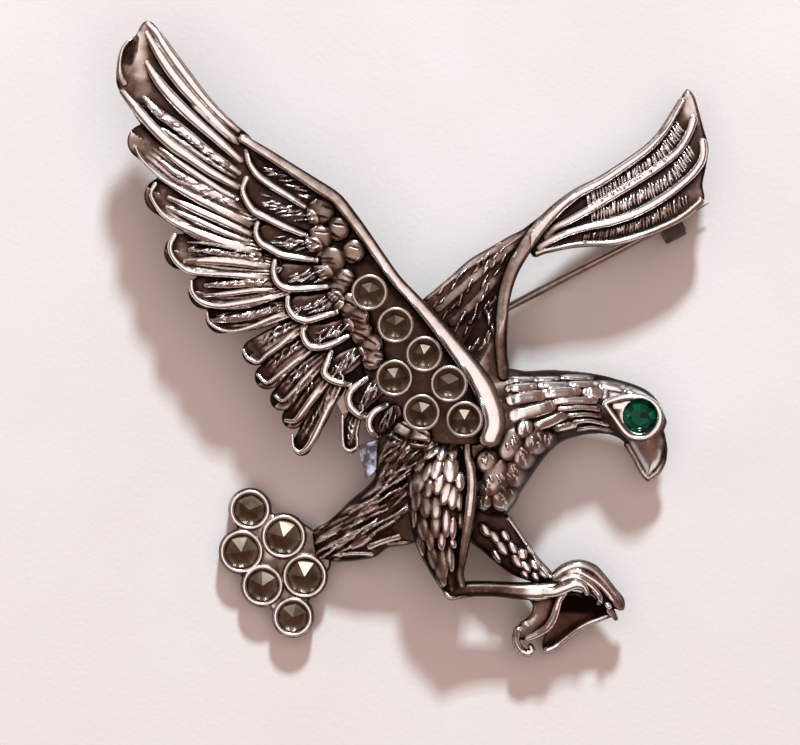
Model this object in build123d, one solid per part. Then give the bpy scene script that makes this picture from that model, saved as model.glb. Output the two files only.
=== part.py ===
"""Eagle brooch: a cast silver bird set with marcasites and a green eye stone, worn on a hinged pin.

The bird lies on its back hardware with its face up (+Z) and its raised wings towards +Y. Lengths are
in millimetres. The parts are drawn in a working frame, where the shoulder is near the origin, and the
whole brooch is then moved so that the origin is at the centre of its box, on the surface it rests on.
"""
from build123d import *
from math import acos, atan2, cos, degrees, hypot, radians, sin, sqrt, tan
import os

# ---- Driving dimensions -------------------------------------------------------------------------
BACK_Z = 3.4  # flat back of the bird, above the surface that the brooch rests on
BRACE_Z = 3.8  # underside of the tab between the rump and the near wing
BRACE_T = 0.8
TAIL_LOW = 0.6  # underside of the tail plate
TAIL_SEAT = TAIL_LOW + 0.95  # floor of the tail cups
EYE_FLOOR = 4.6  # floor of the eye's seat
EYE_TOP = 5.95  # top of the eye's rim
WING_SHEET = 1.2  # thickness of a wing casting
TIER_STEP = 0.45  # how far each row of small feathers stands above the row below it
WING_ARCH_R = 45.0  # arch of the near wing, across its length
WING_ANGLE = 130.5  # direction of the near wing, from shoulder to tip, in degrees
WING_CREST = (0.0, 0.5)  # a point on the top line of the arch
WING_CREST_Z = 8.5  # height of that point
WING_RISE = 0.03  # how far the top line rises for each millimetre towards the tip

WIRE_D = 0.7  # pin wire
PIN_Z = 1.5  # pin axis, and the radius of the joint ears and of the catch, which stand on the surface
PIN_ANGLE = 27.5  # direction of the closed pin, in degrees
PIN_START = (-5.1, -4.0)  # the hinge
PIN_LENGTH = 34.5  # hinge axis to point
STRAIGHT_FROM = 2.4  # the wire is straight between these distances from the hinge
STRAIGHT_TO = 27.6
POINT = 2.6  # length of the ground point
CATCH_AT = 30.6  # hinge axis to the middle of the catch
RUNNING_GAP = 0.05  # radial clearance of what turns

EAR_GAP = 1.0  # between the two ears of the joint
EAR_T = 0.65
RIVET_R = 0.35
PIN_EYE_R = 1.05  # eye of the pin, round the rivet
PIN_EYE_T = 0.9
MOUTH = WIRE_D + 0.16  # slot of the catch that the pin drops into
CATCH_W = 1.9  # catch, along the pin
ROTOR_R = 0.95
ROTOR_BORE = WIRE_D / 2 + 0.12
LEVER_TURN = 90.0  # the turn that locks the catch
LEVER_REST = 55.0 - LEVER_TURN  # the lever's angle when the catch is open
LEVER_REACH = 2.15
LEVER_T = 0.55
LEVER_SWEEP_R = 2.4  # reach of the window that the lever swings in
LEVER_MARGIN = 17.0  # how far the window runs past each end of the swing, in degrees

COLLET_WALL = 0.32
COLLET_RISE = 1.0  # wall above the seat's floor, on a wing collet
SEAT_GAP = 0.03  # between a stone and its seat
GIRDLE = 0.35  # straight side of a marcasite
STONE_SLOPE = 34.0  # facets of a marcasite, in degrees

# Centre, and radius of the stone, for each round setting.
WING_STONES = [
    (-3.6, 4.1, 1.22), (-1.4, 1.35, 1.22), (1.0, -1.1, 1.22), (-1.5, -3.1, 1.25),
    (3.1, -3.6, 1.25), (0.8, -6.0, 1.25), (4.4, -6.6, 1.25),
]
TAIL_STONES = [
    (-13.9, -14.4, 1.3), (-11.0, -16.7, 1.45), (-14.6, -18.0, 1.42), (-12.8, -20.9, 1.33),
    (-9.2, -20.1, 1.45), (-10.2, -23.6, 1.25),
]
EYE = (19.4, -6.35)
EYE_R = 1.42
EYE_WALL = 0.6  # metal of the eye's bezel round the stone
EYE_REACH = 3.4  # from the stone's centre to the point of the bezel
EYE_HEADING = 158.0  # direction of that point, in degrees

# Feathers: three centres from root to tip, and the half width at each.
FLIGHT_FEATHERS = [
    [(-13.5, 14.9), (-19.4, 20.9), (-22.6, 26.2), (1.1, 1.35, 0.75)],
    [(-13.5, 12.8), (-20.9, 18.6), (-23.8, 23.2), (1.0, 1.45, 1.25)],
    [(-12.5, 10.9), (-19.4, 14.0), (-23.1, 17.1), (0.8, 1.2, 0.95)],
    [(-12.3, 8.2), (-17.8, 10.2), (-21.7, 12.3), (0.8, 1.25, 1.0)],
    [(-11.5, 6.3), (-16.4, 7.1), (-20.0, 7.7), (0.7, 1.15, 1.1)],
    [(-10.6, 4.7), (-15.4, 4.2), (-17.9, 4.3), (0.6, 1.1, 1.15)],
    [(-9.8, 3.0), (-13.9, 2.0), (-16.2, 1.9), (0.6, 1.0, 1.15)],
    [(-9.0, 1.8), (-11.8, 0.2), (-13.4, -0.8), (0.6, 0.95, 1.1)],
    [(-8.0, 0.5), (-10.7, -1.6), (-12.1, -2.9), (0.6, 0.85, 1.1)],
    [(-7.0, -0.8), (-9.6, -3.0), (-10.9, -4.5), (0.6, 0.8, 1.0)],
    [(-6.5, -2.3), (-8.9, -4.7), (-9.9, -6.2), (0.6, 0.8, 0.95)],
    [(-6.0, -3.5), (-8.2, -6.8), (-9.6, -8.8), (0.6, 0.75, 0.85)],
    [(-4.4, -5.0), (-5.1, -7.5), (-5.2, -8.9), (0.6, 0.7, 0.75)],
]
COVERTS = [
    [(-8.7, 12.1), (-11.2, 13.8), (-13.2, 15.2), (0.8, 1.0, 0.85)],
    [(-8.7, 10.1), (-11.3, 11.2), (-13.3, 12.5), (0.9, 1.15, 1.05)],
    [(-8.3, 7.7), (-10.6, 8.2), (-12.4, 8.9), (0.85, 1.0, 1.0)],
    [(-7.4, 5.4), (-9.6, 5.4), (-10.9, 5.5), (0.9, 1.1, 1.05)],
    [(-6.5, 3.3), (-8.5, 2.8), (-9.7, 2.7), (0.9, 1.0, 1.05)],
    [(-5.6, 1.1), (-7.2, 0.5), (-8.3, 0.3), (0.8, 0.95, 1.05)],
    [(-4.7, -1.2), (-5.9, -2.0), (-6.9, -2.6), (0.8, 0.95, 0.85)],
    [(-2.8, -3.9), (-4.0, -4.6), (-4.7, -5.3), (0.8, 0.95, 0.95)],
    [(-1.5, -6.0), (-2.5, -6.8), (-3.1, -7.3), (0.7, 0.85, 0.85)],
]


# ---- Small helpers ------------------------------------------------------------------------------
def wing_top(x, y):
    """Height of the near wing's top face above the surface that the brooch rests on."""
    along = (cos(radians(WING_ANGLE)), sin(radians(WING_ANGLE)))
    dx, dy = x - WING_CREST[0], y - WING_CREST[1]
    run = dx * along[0] + dy * along[1]
    across = dx * along[1] - dy * along[0]
    drop = WING_ARCH_R - sqrt(WING_ARCH_R**2 - across**2)
    return WING_CREST_Z + WING_RISE * run - drop


def arched_sheet(top_offset, thickness):
    """A wide arched sheet that follows the near wing's top face."""
    tilt = -degrees(atan2(WING_RISE, 1.0))
    outer = WING_ARCH_R + top_offset
    tube = Cylinder(outer, 140) - Cylinder(outer - thickness, 150)
    tube = Pos(0, 0, WING_CREST_Z - WING_ARCH_R) * Rot(0, tilt, 0) * Rot(0, 90, 0) * tube
    return Pos(WING_CREST[0], WING_CREST[1], 0) * Rot(0, 0, WING_ANGLE) * tube


def lobe(points, widths):
    """The flat outline of a feather: discs at its centres, joined by straight-sided strips."""
    shape = Sketch()
    for (x, y), w in zip(points, widths):
        shape += Pos(x, y) * Circle(w)
    for (a, b), (wa, wb) in zip(zip(points, points[1:]), zip(widths, widths[1:])):
        dx, dy = b[0] - a[0], b[1] - a[1]
        nx, ny = -dy / hypot(dx, dy), dx / hypot(dx, dy)
        corners = [
            (a[0] + nx * wa, a[1] + ny * wa), (b[0] + nx * wb, b[1] + ny * wb),
            (b[0] - nx * wb, b[1] - ny * wb), (a[0] - nx * wa, a[1] - ny * wa),
        ]
        shape += make_face(Polyline(*corners, close=True))
    return shape


def rod(points, widths, heights=None):
    """A solid skinned over ellipses that stand square to a path: widths level, heights upright."""
    heights = heights or widths
    places = [Vector(*p) for p in points]
    sections = []
    for i, (place, w, h) in enumerate(zip(places, widths, heights)):
        ahead = places[min(i + 1, len(places) - 1)] - places[max(i - 1, 0)]
        level = Vector(ahead.Y, -ahead.X, 0)
        sections.append(Plane(origin=place, x_dir=level, z_dir=ahead) * Ellipse(w, h))
    return loft(Sketch() + [s.face() for s in sections])


def prism(outline, low, high):
    """A flat outline raised between two heights."""
    return extrude(Pos(0, 0, low) * outline, amount=high - low)


def one_solid(shape):
    """The largest solid of a shape, without crumbs left by a cut."""
    return Part() + max(shape.solids(), key=lambda s: s.volume)


# ---- Castings -----------------------------------------------------------------------------------
def near_wing():
    """Arched sheet with a row of flight feathers, a raised row of coverts and a thick front edge."""
    front = [
        (-14.3, 17.2), (-9.0, 13.9), (-6.0, 12.0), (-4.3, 9.8), (0.2, 3.9), (3.2, 0.6),
        (6.0, -3.6), (7.0, -6.0),
    ]
    inner = front + [(5.0, -8.3), (0.0, -7.9), (-1.5, -6.6)]
    roots = [(-5, -5), (-8, 0), (-10.5, 4.5), (-12.3, 9), (-13.6, 13)]
    flight = make_face(Polyline(*inner, *roots, close=True))
    for *centres, widths in FLIGHT_FEATHERS:
        flight += lobe(centres, widths)
    covert = make_face(Polyline(*inner, (-3.5, -4), (-5, 0), (-7, 5), (-8.3, 9), (-8.3, 12), close=True))
    for *centres, widths in COVERTS:
        covert += lobe(centres, widths)
    sheet = prism(flight, 0, 14) & arched_sheet(0, WING_SHEET)
    raised = prism(covert, 0, 14) & arched_sheet(TIER_STEP, WING_SHEET)
    spine = [(-14.3, 17.0), (-10.5, 14.8), (-6.5, 12.1), (-4.4, 9.7), (-1.8, 6.3), (0.8, 3.2),
             (3.6, -0.2), (5.6, -3.2), (6.9, -5.9), (6.7, -7.6)]
    radii = [0.5, 0.55, 0.6, 0.6, 0.6, 0.65, 0.75, 0.95, 1.15, 1.0]
    edge = rod([(x, y, wing_top(x, y) + 0.1) for x, y in spine], radii)
    return one_solid(sheet + raised + edge)


def far_wing():
    """A twisted blade: a sheet that rises from the body, and one that leans back towards its tip."""
    inner = make_face(Polyline(
        (0.9, 3.4), (4.2, 6.1), (7.5, 8.5), (10.5, 10.5), (12.2, 11.6), (11.0, 7.7), (9.1, 5.9),
        (8.2, 3.8), (7.8, 1.2), (8.0, -2.2), (4.5, -2.0), close=True))
    outer = make_face(Spline(
        (10.4, 10.3), (13.2, 12.5), (16.8, 14.4), (20.0, 16.9), (22.2, 19.9), (23.4, 21.5),
        (24.4, 19.9), (25.1, 17.6), (24.9, 15.0), (24.7, 12.0), (21.5, 9.9), (17.5, 8.3),
        (13.5, 8.2), (10.4, 7.3), periodic=True))
    slab = Box(60, 60, WING_SHEET)
    low = prism(inner, 0, 12) & (Pos(6, -1, 4.7) * Rot(0, 0, 63) * Rot(0, -1.5, 0) * slab)
    high = prism(outer, 0, 12) & (Pos(22, 11, 4.5) * Rot(-4.3, 2.2, 0) * slab)
    edge = rod(
        [(8.0, -1.0, 4.8), (7.6, 2.8, 5.0), (9.4, 7.8, 5.3), (13.0, 11.9, 5.2), (18.2, 14.9, 4.8),
         (21.6, 18.5, 4.4), (23.3, 21.0, 4.1)],
        [0.5, 0.5, 0.55, 0.55, 0.5, 0.45, 0.3])
    return one_solid(low + high + edge)


def torso():
    """Chest and neck with a flat back, the head and beak that dip, and the boom of the tail."""
    trunk = rod(
        [(7.2, -14.3, 4.6), (6.9, -12.0, 5.0), (8.0, -9.0, 5.3), (10.2, -6.6, 5.1), (13.2, -5.3, 4.6),
         (16.5, -5.5, 4.1), (19.2, -6.3, 3.8), (21.0, -6.9, 3.7)],
        [1.0, 3.1, 3.8, 3.2, 2.75, 2.7, 2.5, 1.4], [1.0, 2.0, 2.4, 2.2, 2.0, 1.9, 1.8, 1.2])
    flat_back = Pos(0, 0, BACK_Z + 10) * Box(80, 80, 20)
    beak = rod([(20.4, -7.4, 3.9), (20.7, -9.2, 3.2), (20.1, -11.8, 2.2)],
               [1.25, 1.05, 0.2], [1.2, 0.95, 0.25])
    boom = rod(
        [(5.8, -3.4, 5.0), (3.8, -7.5, 5.4), (1.4, -11.4, 5.2), (-2.0, -14.2, 4.1), (-5.2, -15.9, 2.8),
         (-8.4, -17.3, 1.6)],
        [2.2, 3.8, 4.2, 3.0, 2.1, 1.45], [1.8, 2.4, 2.2, 1.6, 1.1, 0.7])
    return one_solid((trunk & flat_back) + beak + boom)


def wing_brace():
    """Small flat tab beside the rump, under the near wing's last feather."""
    corners = [(-4.6, -8.9), (-1.6, -8.0), (-1.6, -10.6), (-3.2, -11.1), (-3.95, -11.7)]
    return prism(make_face(Polyline(*corners, close=True)), BRACE_Z, BRACE_Z + BRACE_T)


def claw(points, radius):
    """A toe that narrows to its claw."""
    share = [1.0 - 0.72 * (i / (len(points) - 1)) ** 2 for i in range(len(points))]
    return rod(points, [radius * s for s in share])


def near_leg():
    """Feathered thigh, bare shank, and a foot whose hind toe hooks down."""
    thigh = rod(
        [(2.6, -8.9, 6.4), (2.5, -12.0, 6.6), (2.5, -15.5, 6.2), (2.8, -19.0, 5.7), (3.7, -21.5, 5.2)],
        [2.0, 2.75, 2.45, 1.45, 0.8], [1.3, 1.8, 1.7, 1.2, 0.8])
    shank = rod([(3.4, -21.0, 5.2), (6.5, -21.1, 5.0), (9.5, -21.3, 4.6), (12.0, -21.2, 4.4)],
                [0.85, 0.75, 0.75, 1.0])
    toes = [
        claw([(11.4, -21.2, 4.5), (13.2, -20.7, 5.3), (14.9, -21.2, 5.1), (15.3, -22.2, 4.2)], 0.75),
        claw([(11.4, -20.7, 4.6), (14.0, -19.9, 5.6), (15.8, -21.0, 5.2), (16.2, -22.4, 4.2)], 0.7),
        claw([(10.9, -21.6, 4.4), (10.9, -23.4, 3.6), (9.4, -25.0, 2.9), (9.9, -26.5, 1.9)], 0.75),
    ]
    return one_solid(thigh + shank + toes)


def far_leg():
    """Thigh behind the chest and a foot that reaches down to the surface."""
    thigh = rod([(6.9, -14.9, 4.7), (8.4, -17.2, 4.6), (10.4, -19.3, 4.4), (12.0, -20.2, 4.3)],
                [1.7, 1.75, 1.15, 0.8], [1.0, 1.2, 1.0, 0.8])
    toes = [
        claw([(11.4, -19.9, 4.3), (14.2, -19.2, 5.0), (16.9, -20.6, 4.5), (18.0, -22.8, 3.4)], 0.7),
        claw([(12.0, -20.3, 4.0), (14.6, -21.0, 3.4), (16.9, -22.4, 2.9), (17.6, -23.7, 2.2)], 0.6),
        claw([(12.2, -20.4, 3.8), (13.0, -22.6, 2.9), (12.7, -24.9, 1.6), (11.9, -26.4, 0.3)], 0.8),
    ]
    return one_solid(thigh + toes)


# ---- Settings and stones ------------------------------------------------------------------------
def tail_plate():
    """A fan of six stone cups on one plate, with the tongue that joins it to the boom."""
    web = make_face(Polyline(
        (-13.9, -14.4), (-11.0, -15.4), (-8.2, -16.3), (-7.2, -17.6), (-8.2, -20.1), (-10.2, -23.6),
        (-12.8, -20.9), (-14.6, -18.0), close=True))
    plate = prism(web, TAIL_LOW + 0.3, TAIL_LOW + 1.2)
    for x, y, r in TAIL_STONES:
        plate += Pos(x, y, TAIL_LOW + 0.85) * Cylinder(r + COLLET_WALL + 0.05, 1.7)
    for x, y, r in TAIL_STONES:
        plate -= Pos(x, y, TAIL_SEAT + 2) * Cylinder(r + SEAT_GAP, 4)
    return one_solid(plate)


def wing_seat(x, y):
    """Height of the floor of a wing collet."""
    return wing_top(x, y) + TIER_STEP + 0.3


def wing_collet(x, y, r):
    """A thin round cup that stands on the wing."""
    floor = wing_seat(x, y)
    cup = prism(Circle(r + COLLET_WALL), floor - 0.9, floor + COLLET_RISE)
    return Pos(x, y, 0) * (cup - prism(Circle(r + SEAT_GAP), floor, floor + 4))


def marcasite(r, turn):
    """Round stone with a flat back and six facets that meet in a point."""
    slope = tan(radians(STONE_SLOPE))
    spare = 0.25
    base = Rot(0, 0, turn) * RegularPolygon(r + spare, 6, major_radius=False)
    pyramid = loft([base.face(), Vertex(0, 0, (r + spare) * slope)])
    crown = Pos(0, 0, GIRDLE - spare * slope) * pyramid
    body = Cylinder(r, 6) & (crown + extrude(base, amount=GIRDLE - 0.1))
    return one_solid(body)


def teardrop(radius, reach, heading):
    """A disc drawn out to one point, reach away from its centre."""
    half = acos(radius / reach)
    a = radians(heading)
    touch = [(radius * cos(a + s * half), radius * sin(a + s * half)) for s in (1, -1)]
    return Circle(radius) + make_face(Polyline((reach * cos(a), reach * sin(a)), *touch, close=True))


def eye_bezel():
    """Teardrop cup that stands out of the head round the eye stone."""
    outer = teardrop(EYE_R + EYE_WALL, EYE_REACH, EYE_HEADING)
    inner = teardrop(EYE_R + EYE_WALL - 0.4, EYE_REACH - 0.65, EYE_HEADING)
    cup = prism(outer, EYE_FLOOR - 0.4, EYE_TOP) - prism(inner, EYE_FLOOR + 0.5, EYE_TOP + 1)
    cup -= prism(Circle(EYE_R + SEAT_GAP), EYE_FLOOR, EYE_TOP + 1)
    return Pos(EYE[0], EYE[1], 0) * cup


def eye_stone():
    """Round brilliant with a table, a main and a break row of crown facets, and a shallow back."""
    blank = Pos(0, 0, 0.75) * Cylinder(EYE_R, 1.5)
    for slope, turn, start in ((36.0, 0, 0.72), (46.0, 22.5, 0.62)):
        foot = RegularPolygon(EYE_R + 0.02, 8, major_radius=False, rotation=turn)
        height = EYE_R * tan(radians(slope)) * 0.98
        blank &= extrude(foot, amount=start) + Pos(0, 0, start) * loft([foot.face(), Vertex(0, 0, height)])
    blank &= Pos(0, 0, 0.6) * Box(4, 4, 1.2)
    back = Pos(0, 0, 0.3) * Cone(0.7, EYE_R, 0.6)
    return one_solid(blank & (back + Pos(0, 0, 1.1) * Cylinder(EYE_R, 1.0)))


# ---- Pin, joint and catch: drawn with the hinge at the origin and the closed pin along +X --------

def on_back(shape):
    """Puts hardware drawn at the hinge on the back of the bird."""
    return Pos(PIN_START[0], PIN_START[1], PIN_Z) * Rot(0, 0, PIN_ANGLE) * shape


def joint_base():
    """Foot plate with two ears, drilled for the rivet."""
    foot = Pos(0, 0, 3.6) * Box(3.4, 3.2, 4.0)
    width = EAR_GAP + 2 * EAR_T
    ears = Rot(90, 0, 0) * Cylinder(PIN_Z, width) + Pos(0, 0, 1.0) * Box(2 * PIN_Z, width, 2.0)
    ears -= Box(8, EAR_GAP, 3.2)
    return foot + ears - Rot(90, 0, 0) * Cylinder(RIVET_R, 6)


def joint_rivet():
    """Rivet through the ears, flush at both ends."""
    return Rot(90, 0, 0) * Cylinder(RIVET_R, EAR_GAP + 2 * EAR_T)


def turned(start, end, r_start, r_end):
    """A straight or tapered stretch of the pin, between two distances from the hinge."""
    length = end - start
    blank = Cylinder(r_start, length) if r_start == r_end else Cone(r_start, r_end, length)
    return Pos((start + end) / 2, 0, 0) * Rot(0, 90, 0) * blank


def pin_stem():
    """Pin wire with a shoulder, a flattened eye on the rivet, a tang behind it and a ground point."""
    r = WIRE_D / 2
    wire = turned(0.8, STRAIGHT_FROM, r + 0.08, r) + turned(STRAIGHT_FROM, STRAIGHT_TO, r, r)
    wire += turned(STRAIGHT_TO, PIN_LENGTH - POINT, r, r - 0.05)
    wire += turned(PIN_LENGTH - POINT, PIN_LENGTH, r - 0.05, 0.05)
    eye = Rot(90, 0, 0) * Cylinder(PIN_EYE_R, PIN_EYE_T) + Pos(-0.75, 0, 0.1) * Box(1.1, PIN_EYE_T, 0.8)
    return one_solid(eye + wire - Rot(90, 0, 0) * Cylinder(RIVET_R + RUNNING_GAP, 4))


def wedge(radius, low, high, width):
    """A sector of a disc square to the pin, from one angle to another, measured from +Y up to +Z."""
    middle, half = (low + high) / 2, radians((high - low) / 2)
    reach = radius / cos(half)
    flat = make_face(Polyline((0, 0), (reach * cos(half), -reach * sin(half)),
                              (reach * cos(half), reach * sin(half)), close=True))
    return extrude(Plane.YZ * Rot(0, 0, middle) * flat, amount=width / 2, both=True)


def catch_housing():
    """C-shaped ring, open towards the surface, on a foot; a window lets the lever swing."""
    ring = Rot(0, 90, 0) * Cylinder(PIN_Z, CATCH_W)
    foot = Pos(0, 0.1, 1.9) * Box(CATCH_W, 2.4, 2.0)
    shape = ring + foot - Rot(0, 90, 0) * Cylinder(ROTOR_R + RUNNING_GAP, CATCH_W + 1)
    shape -= Pos(0, 0, -1.5) * Box(CATCH_W + 1, MOUTH, 3)
    middle = LEVER_REST + LEVER_TURN / 2
    swing = wedge(LEVER_SWEEP_R, LEVER_REST - LEVER_MARGIN, middle, LEVER_T + 0.2)
    swing += wedge(LEVER_SWEEP_R, middle, LEVER_REST + LEVER_TURN + LEVER_MARGIN, LEVER_T + 0.2)
    return Pos(CATCH_AT, 0, 0) * (shape - swing)


def catch_rotor():
    """Slotted drum with a lever; turned, its slot leaves the mouth and the pin is locked in."""
    drum = Rot(0, 90, 0) * Cylinder(ROTOR_R, CATCH_W)
    lever = Pos(0, (LEVER_REACH + 0.7) / 2, 0) * Box(LEVER_T, LEVER_REACH - 0.7, 0.5)
    shape = drum + Rot(LEVER_REST, 0, 0) * lever
    shape -= Rot(0, 90, 0) * Cylinder(ROTOR_BORE, CATCH_W + 1)
    shape -= Pos(0, 0, -1.5) * Box(CATCH_W + 1, MOUTH, 3)
    return Pos(CATCH_AT, 0, 0) * shape


# ---- Assembly -----------------------------------------------------------------------------------
def build():
    """Every sub-part by name, in the working frame. What is soldered is cut to fit what it meets."""
    nodes = {}
    nodes["near_wing"] = wing = near_wing()
    nodes["near_leg"] = leg = one_solid(near_leg() - wing)
    nodes["body"] = body = one_solid(torso() - wing - leg - eye_blank())
    nodes["far_wing"] = blade = one_solid(far_wing() - body - wing)
    nodes["far_leg"] = one_solid(far_leg() - body - leg)
    nodes["wing_brace"] = one_solid(wing_brace() - body)
    nodes["tail_plate"] = one_solid(tail_plate() - body)
    nodes["eye_bezel"] = one_solid(eye_bezel())
    nodes["eye_stone"] = Pos(EYE[0], EYE[1], EYE_FLOOR) * eye_stone()
    for i, (x, y, r) in enumerate(WING_STONES, 1):
        nodes[f"wing_collet_{i}"] = one_solid(wing_collet(x, y, r) - wing)
        nodes[f"wing_marcasite_{i}"] = Pos(x, y, wing_seat(x, y)) * marcasite(r, 17 * i)
    for i, (x, y, r) in enumerate(TAIL_STONES, 1):
        nodes[f"tail_marcasite_{i}"] = Pos(x, y, TAIL_SEAT) * marcasite(r, 23 * i)
    nodes["joint_base"] = one_solid(on_back(joint_base()) - wing - body)
    nodes["joint_rivet"] = on_back(joint_rivet())
    nodes["pin_stem"] = on_back(pin_stem())
    nodes["catch_housing"] = one_solid(on_back(catch_housing()) - blade)
    nodes["catch_rotor"] = on_back(catch_rotor())
    return nodes


def eye_blank():
    """What the eye's bezel fills in the head, with the air above it."""
    outline = teardrop(EYE_R + EYE_WALL, EYE_REACH, EYE_HEADING)
    return Pos(EYE[0], EYE[1], 0) * prism(outline, EYE_FLOOR - 0.4, EYE_TOP + 2)


os.makedirs("parts", exist_ok=True)
parts = build()
box = Compound(children=[Compound(p.solids()) for p in parts.values()]).bounding_box()
shift = Pos(-(box.min.X + box.max.X) / 2, -(box.min.Y + box.max.Y) / 2, -box.min.Z)
for name, shape in parts.items():
    export_step(shift * shape, f"parts/{name}.step")

hinge = shift.position + Vector(PIN_START[0], PIN_START[1], PIN_Z)
print("box", box.size, "hinge", hinge, "shift", shift.position)
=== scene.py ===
"""Looks of the eagle brooch: its castings are sculpted as relief in working millimetres, then moved
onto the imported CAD. The collets are turned in place of theirs, and every other piece is its CAD node
with a better material."""

import math
import random

import bpy
import numpy as np
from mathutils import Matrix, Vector


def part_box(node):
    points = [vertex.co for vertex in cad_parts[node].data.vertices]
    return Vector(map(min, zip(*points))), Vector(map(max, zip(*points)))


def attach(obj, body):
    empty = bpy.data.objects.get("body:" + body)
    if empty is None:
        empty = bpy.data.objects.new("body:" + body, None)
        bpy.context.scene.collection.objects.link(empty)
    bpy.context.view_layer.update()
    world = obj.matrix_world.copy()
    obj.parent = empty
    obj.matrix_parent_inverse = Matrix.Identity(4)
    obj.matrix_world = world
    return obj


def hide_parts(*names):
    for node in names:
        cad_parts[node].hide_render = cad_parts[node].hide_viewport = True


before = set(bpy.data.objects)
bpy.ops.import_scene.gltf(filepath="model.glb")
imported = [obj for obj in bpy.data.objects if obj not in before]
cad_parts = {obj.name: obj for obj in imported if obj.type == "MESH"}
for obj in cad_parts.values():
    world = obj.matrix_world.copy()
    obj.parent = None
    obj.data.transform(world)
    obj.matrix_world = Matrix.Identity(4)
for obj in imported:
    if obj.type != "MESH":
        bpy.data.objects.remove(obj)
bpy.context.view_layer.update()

MM = 0.001
VOXEL = 0.075  # grid of the sculpted castings, mm
STEEP = 8  # how far a lobe falls for each millimetre outside its outline

# The working millimetres have the shoulder near their origin; the eye ties them to the frame.
EYE = Vector((19.4, -6.35))
eye_low, eye_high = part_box("eye_stone")
SHIFT = Vector(((eye_low.x + eye_high.x) / 2 / MM - EYE.x, (eye_low.y + eye_high.y) / 2 / MM - EYE.y, 0.0))


# ---- Relief: a height map with a face, a back and an outline ------------------------------------
def curve(points, step=0.3, closed=False):
    """Points along a smooth curve through the given ones."""
    pts = [np.array(p, dtype=float) for p in points]
    if closed:
        pts = [pts[-1]] + pts + [pts[0], pts[1]]
    else:
        pts = [2 * pts[0] - pts[1]] + pts + [2 * pts[-1] - pts[-2]]
    out = []
    for a, b, c, d in zip(pts, pts[1:], pts[2:], pts[3:]):
        n = max(int(np.linalg.norm(c - b) / step), 1)
        for k in range(n):
            u = k / n
            out.append(0.5 * (2 * b + (c - a) * u + (2 * a - 5 * b + 4 * c - d) * u**2
                              + (3 * b - a - 3 * c + d) * u**3))
    out.append(pts[-2])
    return np.array(out)


def nearest(path, x, y):
    """Distance from each place to a path, the share of its length there, and the side (+1 is left)."""
    steps = np.diff(path, axis=0)
    lengths = np.hypot(steps[:, 0], steps[:, 1])
    starts = np.concatenate([[0.0], np.cumsum(lengths)])
    best = np.full(x.shape, 1e9)
    share = np.zeros(x.shape)
    side = np.ones(x.shape)
    for (x0, y0), (dx, dy), length, start in zip(path, steps, lengths, starts):
        u = np.clip(((x - x0) * dx + (y - y0) * dy) / length**2, 0, 1)
        ex, ey = x - x0 - u * dx, y - y0 - u * dy
        d2 = ex * ex + ey * ey
        closer = d2 < best
        best = np.where(closer, d2, best)
        share = np.where(closer, (start + u * length) / starts[-1], share)
        side = np.where(closer, np.where(dx * ey >= dy * ex, 1.0, -1.0), side)
    return np.sqrt(best), share, side


def inside(path, x, y):
    """Whether each place is inside a closed path."""
    hit = np.zeros(x.shape, dtype=bool)
    for (x0, y0), (x1, y1) in zip(path, np.roll(path, -1, axis=0)):
        crosses = (y0 > y) != (y1 > y)
        if y0 != y1:
            hit ^= crosses & (x < (x1 - x0) * (y - y0) / (y1 - y0) + x0)
    return hit


def along(values, share):
    """A width or height that changes along a path, from evenly spread values."""
    values = np.atleast_1d(values)
    return np.interp(share, np.linspace(0, 1, len(values)), values)


def rounding(d, radius):
    """How far a rounded edge drops, from the distance inside it; outside it falls steeply."""
    inner = np.clip(d, 0, radius)
    return radius - np.sqrt(np.maximum(radius**2 - (radius - inner) ** 2, 0)) - STEEP * np.minimum(d, 0)


def crown(u, power=2.4):
    """Section of a rounded strip: round with a power of 2, and flatter in the middle with a higher one."""
    return np.sqrt(np.clip(1 - u**power, 0, 1))


def blur(a, mask, radius):
    """Mean of a map near each place, over what lies inside the outline."""
    k = max(int(radius / VOXEL), 1)

    def box(v):
        for axis in (0, 1):
            n = v.shape[axis]
            c = np.cumsum(np.insert(v, 0, 0, axis=axis), axis=axis)
            high = np.minimum(np.arange(n) + k + 1, n)
            low = np.maximum(np.arange(n) - k, 0)
            v = np.take(c, high, axis=axis) - np.take(c, low, axis=axis)
        return v

    weight = mask.astype(float)
    value = a * weight
    for _ in range(2):
        value, weight = box(value), box(weight)
    return value / np.maximum(weight, 1e-6)


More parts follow.
